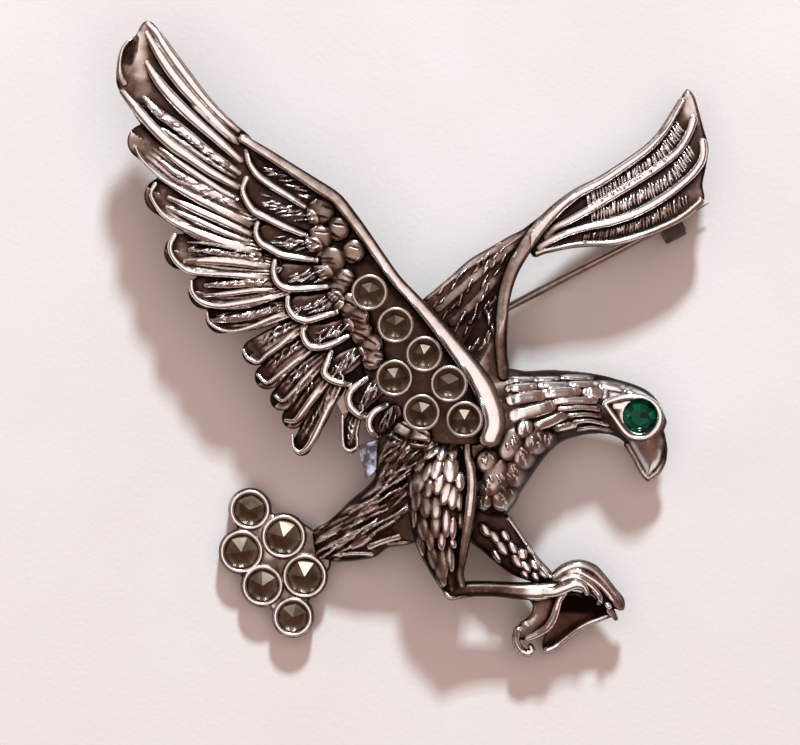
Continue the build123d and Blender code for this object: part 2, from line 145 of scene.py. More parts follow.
class Relief:
    """A sculpted casting on a grid: the height of its face and back, how far each place is inside its
    outline, and how much brighter it is, from polish by wear and from painted highlights and painted
    shade. base is the height that lobes lie on."""

    def __init__(self, low, high, base, back):
        self.low = low
        self.x, self.y = np.meshgrid(np.arange(low[0], high[0], VOXEL), np.arange(low[1], high[1], VOXEL),
                                     indexing="ij")
        self.base = base
        self.back = back(self.x, self.y)
        self.top = np.full(self.x.shape, -20.0)
        self.edge = np.full(self.x.shape, -20.0)
        self.polish_and_painted_light = np.zeros(self.x.shape)
        self.ground = base(self.x, self.y)

    def settle(self):
        """Makes the present face the ground that the next lobes lie on."""
        self.ground = np.where(self.edge > -0.2, self.top, self.ground)

    def place(self, path, reach):
        """The part of the grid within reach of a path, and its coordinates."""
        i0, j0 = ((path.min(axis=0) - reach - self.low) / VOXEL).astype(int)
        i1, j1 = ((path.max(axis=0) + reach - self.low) / VOXEL).astype(int) + 2
        w = slice(max(i0, 0), max(i1, 0)), slice(max(j0, 0), max(j1, 0))
        return w, self.x[w], self.y[w]

    def over(self, w, z, d, blend=0.0, polish_and_painted_light=0.0):
        """Lays a lobe over what is there: z is its face, d the distance inside its outline, and the last
        argument how much brighter it is where it is the highest, from polish by wear and from painted
        highlights."""
        top = self.top[w]
        self.polish_and_painted_light[w] = np.where(z > top, polish_and_painted_light, self.polish_and_painted_light[w])
        if blend:
            h = np.clip(0.5 + 0.5 * (z - top) / blend, 0, 1)
            mixed = top + (z - top) * h + blend * h * (1 - h)
            self.top[w] = np.where((d > -0.3) & (top > -10), mixed, np.maximum(top, z))
        else:
            self.top[w] = np.maximum(top, z)
        self.edge[w] = np.maximum(self.edge[w], d)

    def sheet(self, outline, lift=0.0, swell=0.0, reach=2.5, soft=0.3, blend=0.0, level=None):
        """A lobe with a closed outline. swell raises its middle, reached that far from the edge."""
        level = level or self.base
        path = curve(outline, closed=True)
        w, x, y = self.place(path, 1.0)
        d, _, _ = nearest(path, x, y)
        d = np.where(inside(path, x, y), d, -d)
        rise = 1 - np.clip(d, 0, reach) / reach
        z = level(x, y) + lift - rounding(d, soft) + swell * np.sqrt(1 - rise**2)
        self.over(w, z, d, blend)

    def shade(self, points, widths, amount):
        """Makes a stretch about a path brighter or, below zero, duller: worn and dull metal, and also painted
        highlights and painted shade.
        """
        path = curve(points)
        w, x, y = self.place(path, max(np.atleast_1d(widths)) + 0.3)
        dist, t, _ = nearest(path, x, y)
        self.polish_and_painted_light[w] += amount * np.exp(-((dist / along(widths, t)) ** 4))

    def cup(self, x, y, seat_r, wall, rim_z):
        """The rim of a round setting; hollow() cuts its seat afterwards."""
        w, gx, gy = self.place(np.array([[x, y]]), seat_r + wall + 0.6)
        rad = np.hypot(gx - x, gy - y)
        middle = seat_r + wall / 2
        u = (rad - middle) / (wall / 2)
        ring = rim_z - 0.3 * np.clip(np.abs(u), 0, 1.0) ** 2 - 6 * np.clip(rad - seat_r - wall, 0, None)
        self.over(w, ring, seat_r + wall - rad)

    def hollow(self, x, y, seat_r, seat_z):
        """Cuts a round seat for a stone."""
        w, gx, gy = self.place(np.array([[x, y]]), seat_r + 0.3)
        rad = np.hypot(gx - x, gy - y)
        wall = seat_z + STEEP * np.clip(rad - seat_r, 0, None)
        self.top[w] = np.where(rad < seat_r + 0.3, np.minimum(self.top[w], wall), self.top[w])

    def feather(self, points, widths, lift=0.0, tilt=0.0, soft=0.22, polish_and_painted_light=0.0, tip=0.0, strands=0,
                gloss=0.0):
        """A long lobe about a path. tilt raises its left edge, tip is how bright its end is, and strands
        is how many low ridges run along it, that much brighter along their tops."""
        path = curve(points)
        w, x, y = self.place(path, max(widths) + 0.5)
        dist, t, side = nearest(path, x, y)
        half = along(widths, t)
        d = half - dist
        lat = np.clip(side * dist / half, -1, 1)
        z = self.ground[w] + lift + tilt * lat - rounding(d, soft)
        plain = np.clip((t - 0.82) / 0.12, 0, 1)
        hump = (1 - (((lat + 1) / 2 * strands) % 1 * 2 - 1) ** 2) * (1 - plain) * (strands > 0)
        self.over(w, z + 0.13 * hump, d, polish_and_painted_light=polish_and_painted_light + gloss * hump + (tip - polish_and_painted_light) * plain)

    def band(self, points, widths, height, lift=0.0, polish_and_painted_light=1.0, closed=False):
        """A flat-topped strip that lies on the ground, brightest along its middle."""
        path = curve(points, closed=closed)
        w, x, y = self.place(path, max(widths) + 0.4)
        dist, t, _ = nearest(path, x, y)
        half = along(widths, t)
        u = np.clip(dist / half, 0, 1)
        ends = 1.0 if closed else along([0.3, 0.9, 1, 1, 1, 1, 0.9, 0.4], t)
        z = self.ground[w] + ends * (lift + height * crown(u)) - STEEP * np.maximum(dist - half, 0)
        self.over(w, z, half - dist, polish_and_painted_light=along(polish_and_painted_light, t) * (1 - 0.9 * u**6))

    def scale(self, x, y, half, length, heading, height, rise=0.15, lift=0.0, polish_and_painted_light=0.0):
        """A small oval feather that lies on the ground. Its tip, towards the heading, stands higher; a
        heading of 0 points down the picture."""
        w, gx, gy = self.place(np.array([[x, y]]), max(half, length) + 0.3)
        s, c = math.sin(heading), math.cos(heading)
        v = ((gx - x) * s - (gy - y) * c) / length
        rad = np.hypot(((gx - x) * c + (gy - y) * s) / half, v)
        z = self.ground[w] + lift + rise * v + height * crown(np.minimum(rad, 1), 2.3)
        z -= STEEP * half * np.maximum(rad - 1, 0)
        fade = 1 - 0.8 * np.minimum(rad, 1) ** 6
        self.over(w, z, half * (1 - rad), polish_and_painted_light=polish_and_painted_light * (0.75 + 0.25 * v) * fade)

    def rod(self, points, widths, heights, levels, polish_and_painted_light=0.0):
        """A round-topped bar about a path: half widths, heights above its axis, and axis levels."""
        path = curve(points)
        w, x, y = self.place(path, max(np.atleast_1d(widths)) + 0.6)
        dist, t, _ = nearest(path, x, y)
        half = along(widths, t)
        u = np.clip(dist / half, 0, 1)
        z = along(levels, t) + along(heights, t) * crown(u, 2.2) - STEEP * np.maximum(dist - half, 0)
        self.over(w, z, half - dist, polish_and_painted_light=along(polish_and_painted_light, t) * (1 - 0.9 * u**4))

    def ridge(self, points, widths, height, polish_and_painted_light=0.0, sharp=False):
        """Adds a rounded ridge, or a groove where height is negative; a sharp one is narrow at its top."""
        path = curve(points)
        w, x, y = self.place(path, max(np.atleast_1d(widths)) + 0.2)
        dist, t, _ = nearest(path, x, y)
        half = along(widths, t)
        u = np.minimum(dist / half, 1)
        shape = (1 - u**2) ** 1.3 if sharp else crown(u)
        fade = along([0.6, 1, 1, 1, 1, 0.6], t)
        self.top[w] += height * shape * fade
        if polish_and_painted_light >= 0:
            self.polish_and_painted_light[w] = np.where(u < 1, np.maximum(self.polish_and_painted_light[w], polish_and_painted_light * shape), self.polish_and_painted_light[w])
        else:
            self.polish_and_painted_light[w] += polish_and_painted_light * shape

    def chips(self, points, spread, count, seed, length, width=0.12, height=0.12, slant=0.0, polish_and_painted_light=0.1,
              loose=1.0):
        """Short raised strokes that lie about a path, the barbs of a feather: the looser, the more askew."""
        rng = random.Random(seed)
        path = curve(points)
        steps = np.diff(path, axis=0)
        for k in range(count):
            at = (k + 0.5 + loose * rng.uniform(-0.5, 0.5)) / count * (len(path) - 1)
            i = min(int(at), len(path) - 2)
            along_dir = steps[i] / np.linalg.norm(steps[i])
            across = np.array([-along_dir[1], along_dir[0]])
            centre = path[i] + steps[i] * (at - i) + across * spread * rng.uniform(-1, 1) * loose
            angle = slant + rng.gauss(0, 0.12) * loose
            heading = along_dir * math.cos(angle) + across * math.sin(angle)
            half = heading * length * rng.uniform(0.35, 0.6)
            bend = across * rng.uniform(-0.06, 0.06)
            line = [centre - half, centre + bend, centre + half]
            widths = [width * 0.6, width * 1.25, width * 0.6]
            self.ridge(line, widths, height * rng.uniform(0.7, 1.2), polish_and_painted_light, sharp=True)

    def tone(self, mask):
        """The height of the face, and its tone: 0 in the oxidised recesses, 1 on the polished high places and
        the painted highlights.
        """
        crest = np.where(mask, self.top, blur(self.top, mask, 0.25))
        wide = crest - blur(crest, mask, 0.7)
        fine = crest - blur(crest, mask, 0.25)
        return crest, np.clip(0.4 + 0.9 * wide + 2.0 * fine + 0.42 * self.polish_and_painted_light, 0, 1)

    def mesh(self, name):
        """The closed surface of the relief, as a Blender mesh."""
        highest = float(self.top[self.edge > -VOXEL].max())
        zs = np.arange(float(self.back.min()) - 2 * VOXEL, highest + 3 * VOXEL, VOXEL)
        field = np.empty((*self.top.shape, len(zs)), dtype=np.float32)
        for k, z in enumerate(zs):
            field[:, :, k] = np.minimum(np.minimum(self.top - z, z - self.back), self.edge)
        points, quads = surface(field)
        places = np.column_stack([self.low[0] + points[:, 0] * VOXEL, self.low[1] + points[:, 1] * VOXEL,
                                  zs[0] + points[:, 2] * VOXEL])
        crest, tone = self.tone((field > 0).any(axis=2))
        i = np.clip(points[:, 0].round().astype(int), 0, tone.shape[0] - 1)
        j = np.clip(points[:, 1].round().astype(int), 0, tone.shape[1] - 1)
        depth = crest[i, j] - places[:, 2]
        shade = np.where(depth > 0.25, np.maximum(0.42 - 0.25 * (depth - 0.25), 0.3), tone[i, j])
        return make_mesh(name, places, quads, shade)


def surface(field):
    """Points and quads of the surface where the field changes sign, one point for each crossed cell."""
    field[0] = field[-1] = field[:, 0] = field[:, -1] = field[:, :, 0] = field[:, :, -1] = -1.0
    solid = field > 0
    corners = [(a, b, c) for a in (0, 1) for b in (0, 1) for c in (0, 1)]
    shape = tuple(n - 1 for n in field.shape)

    def shifted(v, corner):
        a, b, c = corner
        return v[a:a + shape[0], b:b + shape[1], c:c + shape[2]]

    some = np.zeros(shape, dtype=bool)
    every = np.ones(shape, dtype=bool)
    for corner in corners:
        part = shifted(solid, corner)
        some |= part
        every &= part
    cells = np.argwhere(some & ~every)
    index = np.full(shape, -1, dtype=np.int32)
    index[tuple(cells.T)] = np.arange(len(cells))
    total = np.zeros((len(cells), 3))
    count = np.zeros(len(cells))
    for p in corners:
        for axis in range(3):
            if p[axis]:
                continue
            q = list(p)
            q[axis] = 1
            fp = field[tuple((cells + p).T)].astype(float)
            fq = field[tuple((cells + q).T)].astype(float)
            crossed = (fp > 0) != (fq > 0)
            u = np.where(crossed, fp / np.where(crossed, fp - fq, 1.0), 0.0)
            point = cells + np.array(p, dtype=float)
            point[:, axis] += u
            total += point * crossed[:, None]
            count += crossed
    points = total / count[:, None]
    quads = []
    for axis in range(3):
        others = [a for a in range(3) if a != axis]
        first = [slice(None)] * 3
        second = [slice(None)] * 3
        first[axis], second[axis] = slice(0, -1), slice(1, None)
        a, b = solid[tuple(first)], solid[tuple(second)]
        for inward, flip in ((a & ~b, False), (~a & b, True)):
            at = np.argwhere(inward)
            at = at[(at[:, others[0]] > 0) & (at[:, others[1]] > 0)]
            ring = []
            for s, t in ((0, 0), (1, 0), (1, 1), (0, 1)):
                cell = at.copy()
                cell[:, others[0]] -= s
                cell[:, others[1]] -= t
                ring.append(index[tuple(cell.T)])
            ring = np.column_stack(ring)
            turned = flip if axis != 1 else not flip
            quads.append(ring[:, ::-1] if turned else ring)
    return points, np.vstack(quads)


def make_mesh(name, places, faces, shade):
    """A smooth-shaded mesh object in the frame, with its tone stored at each point."""
    mesh = bpy.data.meshes.new(name)
    co = (places + np.array(SHIFT)) * MM
    mesh.vertices.add(len(co))
    mesh.vertices.foreach_set("co", co.astype(np.float32).ravel())
    mesh.loops.add(faces.size)
    mesh.loops.foreach_set("vertex_index", faces.astype(np.int32).ravel())
    mesh.polygons.add(len(faces))
    mesh.polygons.foreach_set("loop_start", np.arange(0, faces.size, faces.shape[1], dtype=np.int32))
    mesh.polygons.foreach_set("use_smooth", np.ones(len(faces), dtype=bool))
    mesh.update(calc_edges=True)
    layer = mesh.attributes.new("tone", "FLOAT", "POINT")
    layer.data.foreach_set("value", shade.astype(np.float32))
    obj = bpy.data.objects.new(name, mesh)
    bpy.context.collection.objects.link(obj)
    return obj


# ---- Materials ----------------------------------------------------------------------------------
def nodes_of(name):
    """A new material, its shader, and functions that add a node, link two and add a texture."""
    mat = bpy.data.materials.new(name)
    mat.use_nodes = True
    tree = mat.node_tree
    shader = tree.nodes["Principled BSDF"]

    def add(kind, **values):
        node = tree.nodes.new("ShaderNode" + kind)
        for key, value in values.items():
            if hasattr(node, key):
                setattr(node, key, value)
            else:
                node.inputs[key.replace("_", " ")].default_value = value
        return node

    def link(a, out, b, into):
        tree.links.new(a.outputs[out], b.inputs[into])

    def texture(kind, **values):
        node = add("Tex" + kind, **values)
        link(add("TexCoord"), "Object", node, "Vector")
        return node

    return mat, shader, add, link, texture


def ramp_of(add, stops):
    """A colour ramp with the given stops."""
    node = add("ValToRGB")
    ramp = node.color_ramp
    while len(ramp.elements) < len(stops):
        ramp.elements.new(0.5)
    for element, (at, colour) in zip(ramp.elements, stops):
        element.position = at
        element.color = (*colour, 1.0)
    return node


def cast_silver():
    """Oxidised silver: dark brown recesses, and high places polished bright by wear; its tone also holds
    painted highlights and painted shade.
    """
    mat, shader, add, link, texture = nodes_of("cast_silver")
    shader.inputs["Metallic"].default_value = 1.0
    tone = add("Attribute", attribute_name="tone")
    mottle = texture("Noise", Scale=900.0, Detail=5.0, Roughness=0.65)
    shifted = add("MapRange", From_Min=0.3, From_Max=0.7, To_Min=-0.1, To_Max=0.1)
    link(mottle, "Fac", shifted, "Value")
    mixed = add("Math", operation="ADD", use_clamp=True)
    link(tone, "Fac", mixed, 0)
    link(shifted, "Result", mixed, 1)
    colour = ramp_of(add, [(0.0, (0.012, 0.007, 0.005)), (0.32, (0.075, 0.044, 0.035)),
                           (0.55, (0.35, 0.275, 0.24)), (0.8, (0.82, 0.81, 0.80)), (1, (0.94, 0.98, 1))])
    link(mixed, "Value", colour, "Fac")
    link(colour, "Color", shader, "Base Color")
    rough = add("MapRange", From_Min=0.0, From_Max=1.0, To_Min=0.42, To_Max=0.2)
    link(mixed, "Value", rough, "Value")
    link(rough, "Result", shader, "Roughness")
    grain = texture("Noise", Scale=2600.0, Detail=3.0)
    bump = add("Bump", Strength=0.12, Distance=0.00004)
    link(grain, "Fac", bump, "Height")
    link(bump, "Normal", shader, "Normal")
    return mat


def plain_silver(name, bright, dark=(0.16, 0.11, 0.09), roughness=0.24, edge=(0.28, 0.5)):
    """Worn silver of a setting or a finding, with soft tarnish."""
    mat, shader, add, link, texture = nodes_of(name)
    shader.inputs["Metallic"].default_value = 1.0
    noise = texture("Noise", Scale=420.0, Detail=6.0, Roughness=0.6)
    colour = ramp_of(add, [(edge[0], dark), (edge[1], bright), (1.0, bright)])
    link(noise, "Fac", colour, "Fac")
    link(colour, "Color", shader, "Base Color")
    rough = add("MapRange", From_Min=0.3, From_Max=0.7, To_Min=roughness + 0.14, To_Max=roughness - 0.04)
    link(noise, "Fac", rough, "Value")
    link(rough, "Result", shader, "Roughness")
    return mat


def marcasite(name, dark, light):
    """Faceted pyrite: dark, metallic, greenish brown."""
    mat, shader, add, link, texture = nodes_of(name)
    shader.inputs["Metallic"].default_value = 1.0
    noise = texture("Noise", Scale=700.0, Detail=5.0)
    colour = ramp_of(add, [(0.3, dark), (0.7, light)])
    link(noise, "Fac", colour, "Fac")
    link(colour, "Color", shader, "Base Color")
    rough = add("MapRange", From_Min=0.3, From_Max=0.7, To_Min=0.36, To_Max=0.44)
    link(noise, "Fac", rough, "Value")
    link(rough, "Result", shader, "Roughness")
    return mat


def green_stone():
    """Green glass, its facets painted lighter and darker as painted light and shade."""
    mat, shader, add, link, texture = nodes_of("green_stone")
    # Painted light and shade: random cells of lighter and darker green stand for lit and shaded facets.
    cells = texture("Voronoi", Scale=1500.0, Randomness=0.6)
    colour = ramp_of(add, [(0.2, (0.0, 0.008, 0.004)), (0.55, (0.0, 0.035, 0.018)),
                           (0.85, (0.002, 0.13, 0.07))])
    link(cells, "Color", colour, "Fac")
    link(colour, "Color", shader, "Base Color")
    shader.inputs["Roughness"].default_value = 0.05
    shader.inputs["Specular IOR Level"].default_value = 0.14
    return mat


# ---- Near wing ----------------------------------------------------------------------------------
WING_ARCH_R = 45.0
WING_ANGLE = math.radians(130.5)
WING_CREST = (0.0, 0.5)
WING_CREST_Z = 8.5
WING_RISE = 0.03


def wing_top(x, y):
    """The near wing's arched face, as in the CAD."""
    dx, dy = x - WING_CREST[0], y - WING_CREST[1]
    run = dx * math.cos(WING_ANGLE) + dy * math.sin(WING_ANGLE)
    across = dx * math.sin(WING_ANGLE) - dy * math.cos(WING_ANGLE)
    return WING_CREST_Z + WING_RISE * run - (WING_ARCH_R - np.sqrt(WING_ARCH_R**2 - across**2))


# Flight feathers from the lowest up: path from root to tip, half widths; then the bright rim that starts
# inside the tip and runs back along the lower edge, with its half widths and polish.
FLIGHT = [
    ([(-4.6, -5.6), (-5.2, -7.4), (-5.25, -8.8)], [0.6, 0.72, 0.72],
     [(-5.9, -6.4), (-5.9, -8), (-5.75, -9), (-5.2, -9.3), (-4.7, -9), (-4.65, -7.9)],
     [0.12, 0.14, 0.14, 0.12], 0.8),
    ([(-6.4, -3.2), (-8, -6.3), (-9.4, -8.9)], [0.75, 0.95, 0.85],
     [(-10.2, -8), (-10.1, -9), (-9.55, -9.45), (-8.8, -8.9), (-8.1, -7.7), (-7.4, -6.2), (-6.6, -4.7)],
     [0.12, 0.2, 0.3, 0.26, 0.18], [0.6, 0.9, 1.3, 1.2, 0.6]),
    ([(-6.9, -2.4), (-8.9, -4.6), (-10.15, -6.5)], [0.7, 0.95, 0.95],
     [(-10.7, -6.7), (-9.95, -6.75), (-9.3, -6), (-8.5, -4.9), (-7.75, -3.9)], [0.14, 0.26, 0.3, 0.24],
     [0.3, 0.7, 0.9, 0.7]),
    ([(-7.4, -1.2), (-9.5, -3.1), (-11.1, -4.9)], [0.7, 0.95, 1],
     [(-11.6, -4.6), (-11, -5.05), (-10.2, -4.4), (-9.2, -3.3), (-8.3, -2.3)], [0.1, 0.18, 0.2, 0.18],
     [0.3, 0.35, 0.5, 0.7]),
    ([(-8.3, 0.1), (-10.6, -1.5), (-12.3, -3)], [0.7, 1, 1.1],
     [(-13.1, -2.8), (-12.3, -3.5), (-11.2, -2.75), (-10.2, -1.95), (-9.3, -1.2)], [0.1, 0.18, 0.22, 0.18],
     [0.3, 0.3, 0.35, 0.5]),
    ([(-9.4, 1.4), (-11.6, 0.2), (-13.3, -0.9)], [0.7, 1, 1.15],
     [(-14.3, -0.7), (-13.9, -1.4), (-13, -1.75), (-12.4, -1.2), (-11.2, -0.35), (-9.9, 0.8)],
     [0.1, 0.16, 0.22, 0.22], [0.9, 0.6, 0.4, 0.7]),
    ([(-10, 2.8), (-13.2, 2.2), (-16.2, 2)], [0.65, 1.2, 1.35],
     [(-17.4, 2.5), (-17.15, 1.6), (-16.2, 1), (-14.9, 0.9), (-13.4, 1.3), (-12, 1.9), (-10.9, 2.3)],
     [0.1, 0.12, 0.2, 0.2], 1),
    ([(-10.8, 4.6), (-14.6, 4.1), (-17.5, 4.2)], [0.8, 1.45, 1.5],
     [(-18.75, 5.1), (-18.65, 4.2), (-17.9, 3.35), (-16.5, 3), (-15, 3.15), (-13, 3.5), (-11.3, 3.85)],
     [0.16, 0.2, 0.27, 0.27, 0.2], 1.2),
    ([(-11.8, 6.4), (-15.8, 7), (-19.5, 7.6)], [0.9, 1.45, 1.55],
     [(-20.1, 9), (-20.5, 8.1), (-20.3, 7.2), (-19.5, 6.3), (-18.4, 5.8), (-15.2, 5.6), (-12, 5.3)],
     [0.18, 0.2, 0.2, 0.24, 0.22], 1.2),
    ([(-13, 8.6), (-17.4, 10.1), (-21.1, 12.3)], [1, 1.75, 1.6],
     [(-21.7, 13.3), (-22.1, 12.4), (-21.3, 11), (-20.1, 10.05), (-18.4, 9.3), (-16.5, 8.55), (-14.5, 7.9),
      (-12.9, 7.3)],
     [0.14, 0.16, 0.22, 0.34, 0.34, 0.22], 1.2),
    ([(-13.6, 11.2), (-18.6, 13.9), (-22.6, 16.9)], [1.1, 1.75, 1.5],
     [(-23.5, 16.6), (-23, 15.6), (-22.2, 14.7), (-20.9, 13.6), (-19.2, 12.6), (-17.2, 11.6), (-15.2, 10.7),
      (-13.6, 10)],
     [0.1, 0.16, 0.24, 0.28, 0.24], [0.6, 1, 1.1, 1.2, 1]),
]
SHORT_FLIGHT = 6  # this many of them are short and have fewer strands
# Round ridges on the flight feathers: path, half width, polish.
STRANDS = [
    ([(-20.7, 13.95), (-19.2, 13.35), (-17.4, 12.5), (-15.6, 11.65), (-14, 10.9)], 0.17, 0.5),
    ([(-21.4, 15.35), (-20, 14.3), (-18.2, 13.25), (-16.3, 12.2), (-14.4, 11.35)], 0.24, 0.9),
    ([(-21.3, 16.3), (-19.7, 15.1), (-17.8, 13.8), (-15.9, 12.6), (-14.3, 11.8)], 0.22, 0.8),
    ([(-20.8, 11.35), (-19.4, 10.75), (-17.8, 10.05), (-15.9, 9.2), (-13.6, 8.35)], 0.2, 1),
    ([(-20.6, 12.15), (-19.1, 11.5), (-17.3, 10.7), (-15.3, 9.8), (-13.5, 8.95)], 0.25, 1.1),
    ([(-20.3, 13), (-18.7, 12.2), (-17, 11.35), (-15.2, 10.45), (-13.8, 9.7)], 0.18, 0.7),
    ([(-19.2, 6.75), (-17.4, 6.85), (-15, 6.7), (-12.3, 6.3)], 0.27, 1.1),
    ([(-18.9, 7.75), (-17, 7.6), (-15, 7.25), (-12.7, 6.8)], 0.2, 0.8),
    ([(-19, 8.4), (-17.2, 8.25), (-15, 7.8), (-13, 7.3)], 0.12, 0.2),
    ([(-17.6, 3.9), (-15.5, 4.05), (-13.5, 4.3), (-11.8, 4.3)], 0.19, 1),
    ([(-17.5, 4.75), (-15.5, 4.8), (-13.5, 4.9), (-12, 4.8)], 0.24, 1.1),
    ([(-16.8, 1.75), (-15, 1.95), (-13.2, 2.3), (-11.6, 2.7)], 0.28, 0.8),
]
# Where small broken barbs lie on the flight feathers: path, spread, count, polish.
BARBS = [
    ([(-16.6, 2.1), (-14, 2.3), (-11.6, 2.8)], 0.22, 16, 0.6),
    ([(-18.6, 7.9), (-15.6, 7.5), (-13, 7)], 0.2, 22, 0.6),
    ([(-17.2, 4.9), (-14.5, 5), (-12.2, 4.9)], 0.15, 12, 0.4),
    ([(-12.9, 0), (-11.8, 0.5), (-10.6, 1.3)], 0.35, 13, 0.6),
    ([(-11.9, -1.6), (-10.6, -0.9), (-9.6, -0.2)], 0.35, 11, 0.2),
    ([(-11, -3.4), (-9.9, -2.9), (-8.9, -1.9)], 0.35, 13, 0.6),
    ([(-10.3, -5.2), (-9.3, -4.3), (-8.4, -3.2)], 0.35, 13, 0.4),
    ([(-9.5, -8), (-8.3, -6.4), (-7.2, -4.7)], 0.25, 12, 0.4),
    ([(-5.2, -8.7), (-5.2, -7)], 0.25, 7, 0.3), ([(-19.8, 14.1), (-17, 12.6), (-14.8, 11.6)], 0.5, 14, 0.1),
]
TOP_LOBE = [
    (-22.4, 27.1), (-22.9, 26.7), (-23.4, 25.8), (-24.2, 25.3), (-24.75, 24.4), (-25, 22.9), (-24.95, 21.6),
    (-24.2, 20.4), (-23, 18.4), (-21.4, 16.6), (-19, 14.7), (-16.6, 12.9), (-13.6, 11.6), (-12.2, 14.4),
    (-13.6, 17.2), (-15.6, 18.9), (-18, 21.5), (-20, 24.2), (-21.6, 26.6),
]
# Ridges of the top lobe: path, half width, polish.
TOP_RIDGES = [
    ([(-22.3, 26.8), (-21.5, 25.9), (-20.5, 24.4), (-19.1, 22.5), (-17.7, 20.7), (-16.2, 19.1),
      (-14.7, 17.8)], 0.38, 1.3),
    ([(-22.4, 26), (-21.5, 24.5), (-20.3, 22.7), (-19, 21.1), (-17.5, 19.5), (-16, 18), (-14.7, 16.8)],
     0.42, 1.3),
    ([(-22.4, 23.5), (-21.8, 22.5), (-20.8, 21.2), (-19.5, 19.8), (-18, 18.4), (-16.4, 17), (-14.5, 15.3)],
     0.44, 1.2),
    ([(-18.9, 20.3), (-17.6, 19), (-16.2, 17.7), (-15, 16.7)], 0.14, 0.4),
    ([(-22.7, 20.6), (-21.4, 19.3), (-20, 18.3), (-18.5, 17.1), (-17, 15.9), (-14.6, 14.2)], 0.4, 1.1),
    ([(-21.6, 18.3), (-20, 17.2), (-18.3, 16), (-16.5, 14.8), (-14.9, 13.8)], 0.22, 0.5),
    ([(-24.5, 21.1), (-23.2, 19.6), (-21.8, 18), (-20.3, 16.6), (-18.6, 15.4), (-17, 14.3), (-14.7, 13)],
     0.42, 1.2),
]
# Coverts: rim from its upper end round the tip to its lower end.
COVERTS = [
    [(-14, 16.1), (-13.7, 15), (-12.9, 13.9), (-11.8, 13.1), (-10.5, 12.3), (-9.1, 11.4)],
    [(-14, 13.7), (-14.3, 12.85), (-14.05, 12), (-13.35, 11), (-12.35, 10.45), (-10.95, 9.75), (-9, 8.95)],
    [(-13.05, 10), (-13.2, 9.2), (-12.8, 8.35), (-11.9, 7.8), (-10.95, 7.3), (-9.8, 7.1), (-8.1, 6.85)],
    [(-11.6, 6.8), (-11.7, 5.8), (-11.35, 4.95), (-10.5, 4.45), (-9.2, 4.45), (-7.25, 4.6)],
    [(-10.5, 3.75), (-10.5, 2.95), (-9.95, 2.1), (-8.95, 1.75), (-7.8, 2.05), (-6.4, 2.45)],
    [(-9.2, 1.3), (-9.2, 0.4), (-8.65, -0.4), (-7.65, -0.5), (-6.5, -0.1), (-5.5, 0.4)],
    [(-6.85, -0.9), (-7.2, -1.85), (-7.45, -2.7), (-6.65, -3.35), (-5.25, -3.7)],
    [(-3.85, -3.15), (-4.85, -3.85), (-5.35, -4.55), (-5.3, -5.4), (-4.7, -6.1), (-3.85, -6.55)],
    [(-2.15, -5.35), (-3.15, -5.95), (-3.65, -6.7), (-3.55, -7.5), (-3, -8.1)],
]
# Middle lines of the coverts, from root to tip, and half widths.
COVERT_PLATES = [
    ([(-8.7, 12.3), (-10.9, 13.9), (-12.9, 15.2)], [0.8, 1, 0.9]),
    ([(-8.7, 10.2), (-11.2, 11.3), (-13.2, 12.6)], [0.9, 1.15, 1.05]),
    ([(-8.3, 7.9), (-10.5, 8.3), (-12.2, 9)], [0.85, 1, 0.95]),
    ([(-7.4, 5.5), (-9.4, 5.5), (-10.6, 5.6)], [0.9, 1.05, 1.05]),
    ([(-6.5, 3.4), (-8.3, 2.9), (-9.4, 2.9)], [0.9, 1.05, 1.05]),
    ([(-5.6, 1.2), (-7.1, 0.6), (-8.2, 0.5)], [0.8, 0.95, 1]),
    ([(-4.7, -1.2), (-5.8, -1.9), (-6.6, -2.4)], [0.8, 0.95, 0.9]),
    ([(-2.9, -3.9), (-3.9, -4.6), (-4.5, -5.2)], [0.8, 0.95, 0.9]),
    ([(-1.5, -6), (-2.4, -6.8), (-2.8, -7.1)], [0.7, 0.85, 0.8]),
]
# Dull lumps of the third row: centre and radius.
LUMPS = [
    (-7.7, 10.95, 1), (-6.2, 9.5, 0.85), (-7.9, 8.6, 0.95), (-4.9, 7.6, 0.85), (-7, 6.6, 1.1),
    (-5.8, 5.2, 0.75), (-6.3, 4.2, 0.75), (-5.5, 3, 0.9), (-4.7, 1.8, 0.9), (-4.3, 0.7, 0.8),
    (-3.5, -0.4, 0.85), (-3.3, -1.5, 0.75), (0.6, -8.2, 0.8), (-0.8, -7.6, 0.7),
]
INNER_FIELD = [
    (-14.4, 17.3), (-9.6, 14.4), (-6.2, 12.2), (-4.1, 9.4), (-1.6, 6), (1.2, 2.8), (4.2, -0.8), (6.2, -3.6),
    (7, -6.2), (6.6, -8.4), (4.5, -8.9), (1.4, -8.6), (-1.4, -7.8), (-3, -5), (-4.2, -2.4), (-5.4, 0.8),
    (-6.6, 3.4), (-7.8, 6.6), (-9.2, 10.2), (-10.4, 13.2),
]
WING_SHEET = [
    (-14, 16), (-9, 14), (-4, 8), (2, 1), (6, -5), (2, -8), (-4, -6), (-8, -3), (-11, 1), (-13, 5),
    (-14.5, 10),
]
# The thick front edge, from the tip to the shoulder.
BAR = [
    (-14.3, 17.1), (-12, 15.7), (-10, 14.4), (-8, 13.1), (-6.4, 12), (-5, 10.3), (-3.9, 8.8), (-2.6, 6.9),
    (-1.3, 5.1), (0.2, 3.5), (1.7, 1.8), (3, 0.2), (4.2, -1.3), (5.3, -2.8), (6.1, -4.1), (6.7, -5.6),
    (6.95, -7), (6.6, -8.1),
]
BAR_WIDTHS = [
    0.35, 0.42, 0.45, 0.5, 0.55, 0.55, 0.52, 0.5, 0.5, 0.5, 0.52, 0.6, 0.68, 0.78, 0.9, 1, 1.05, 0.95,
]


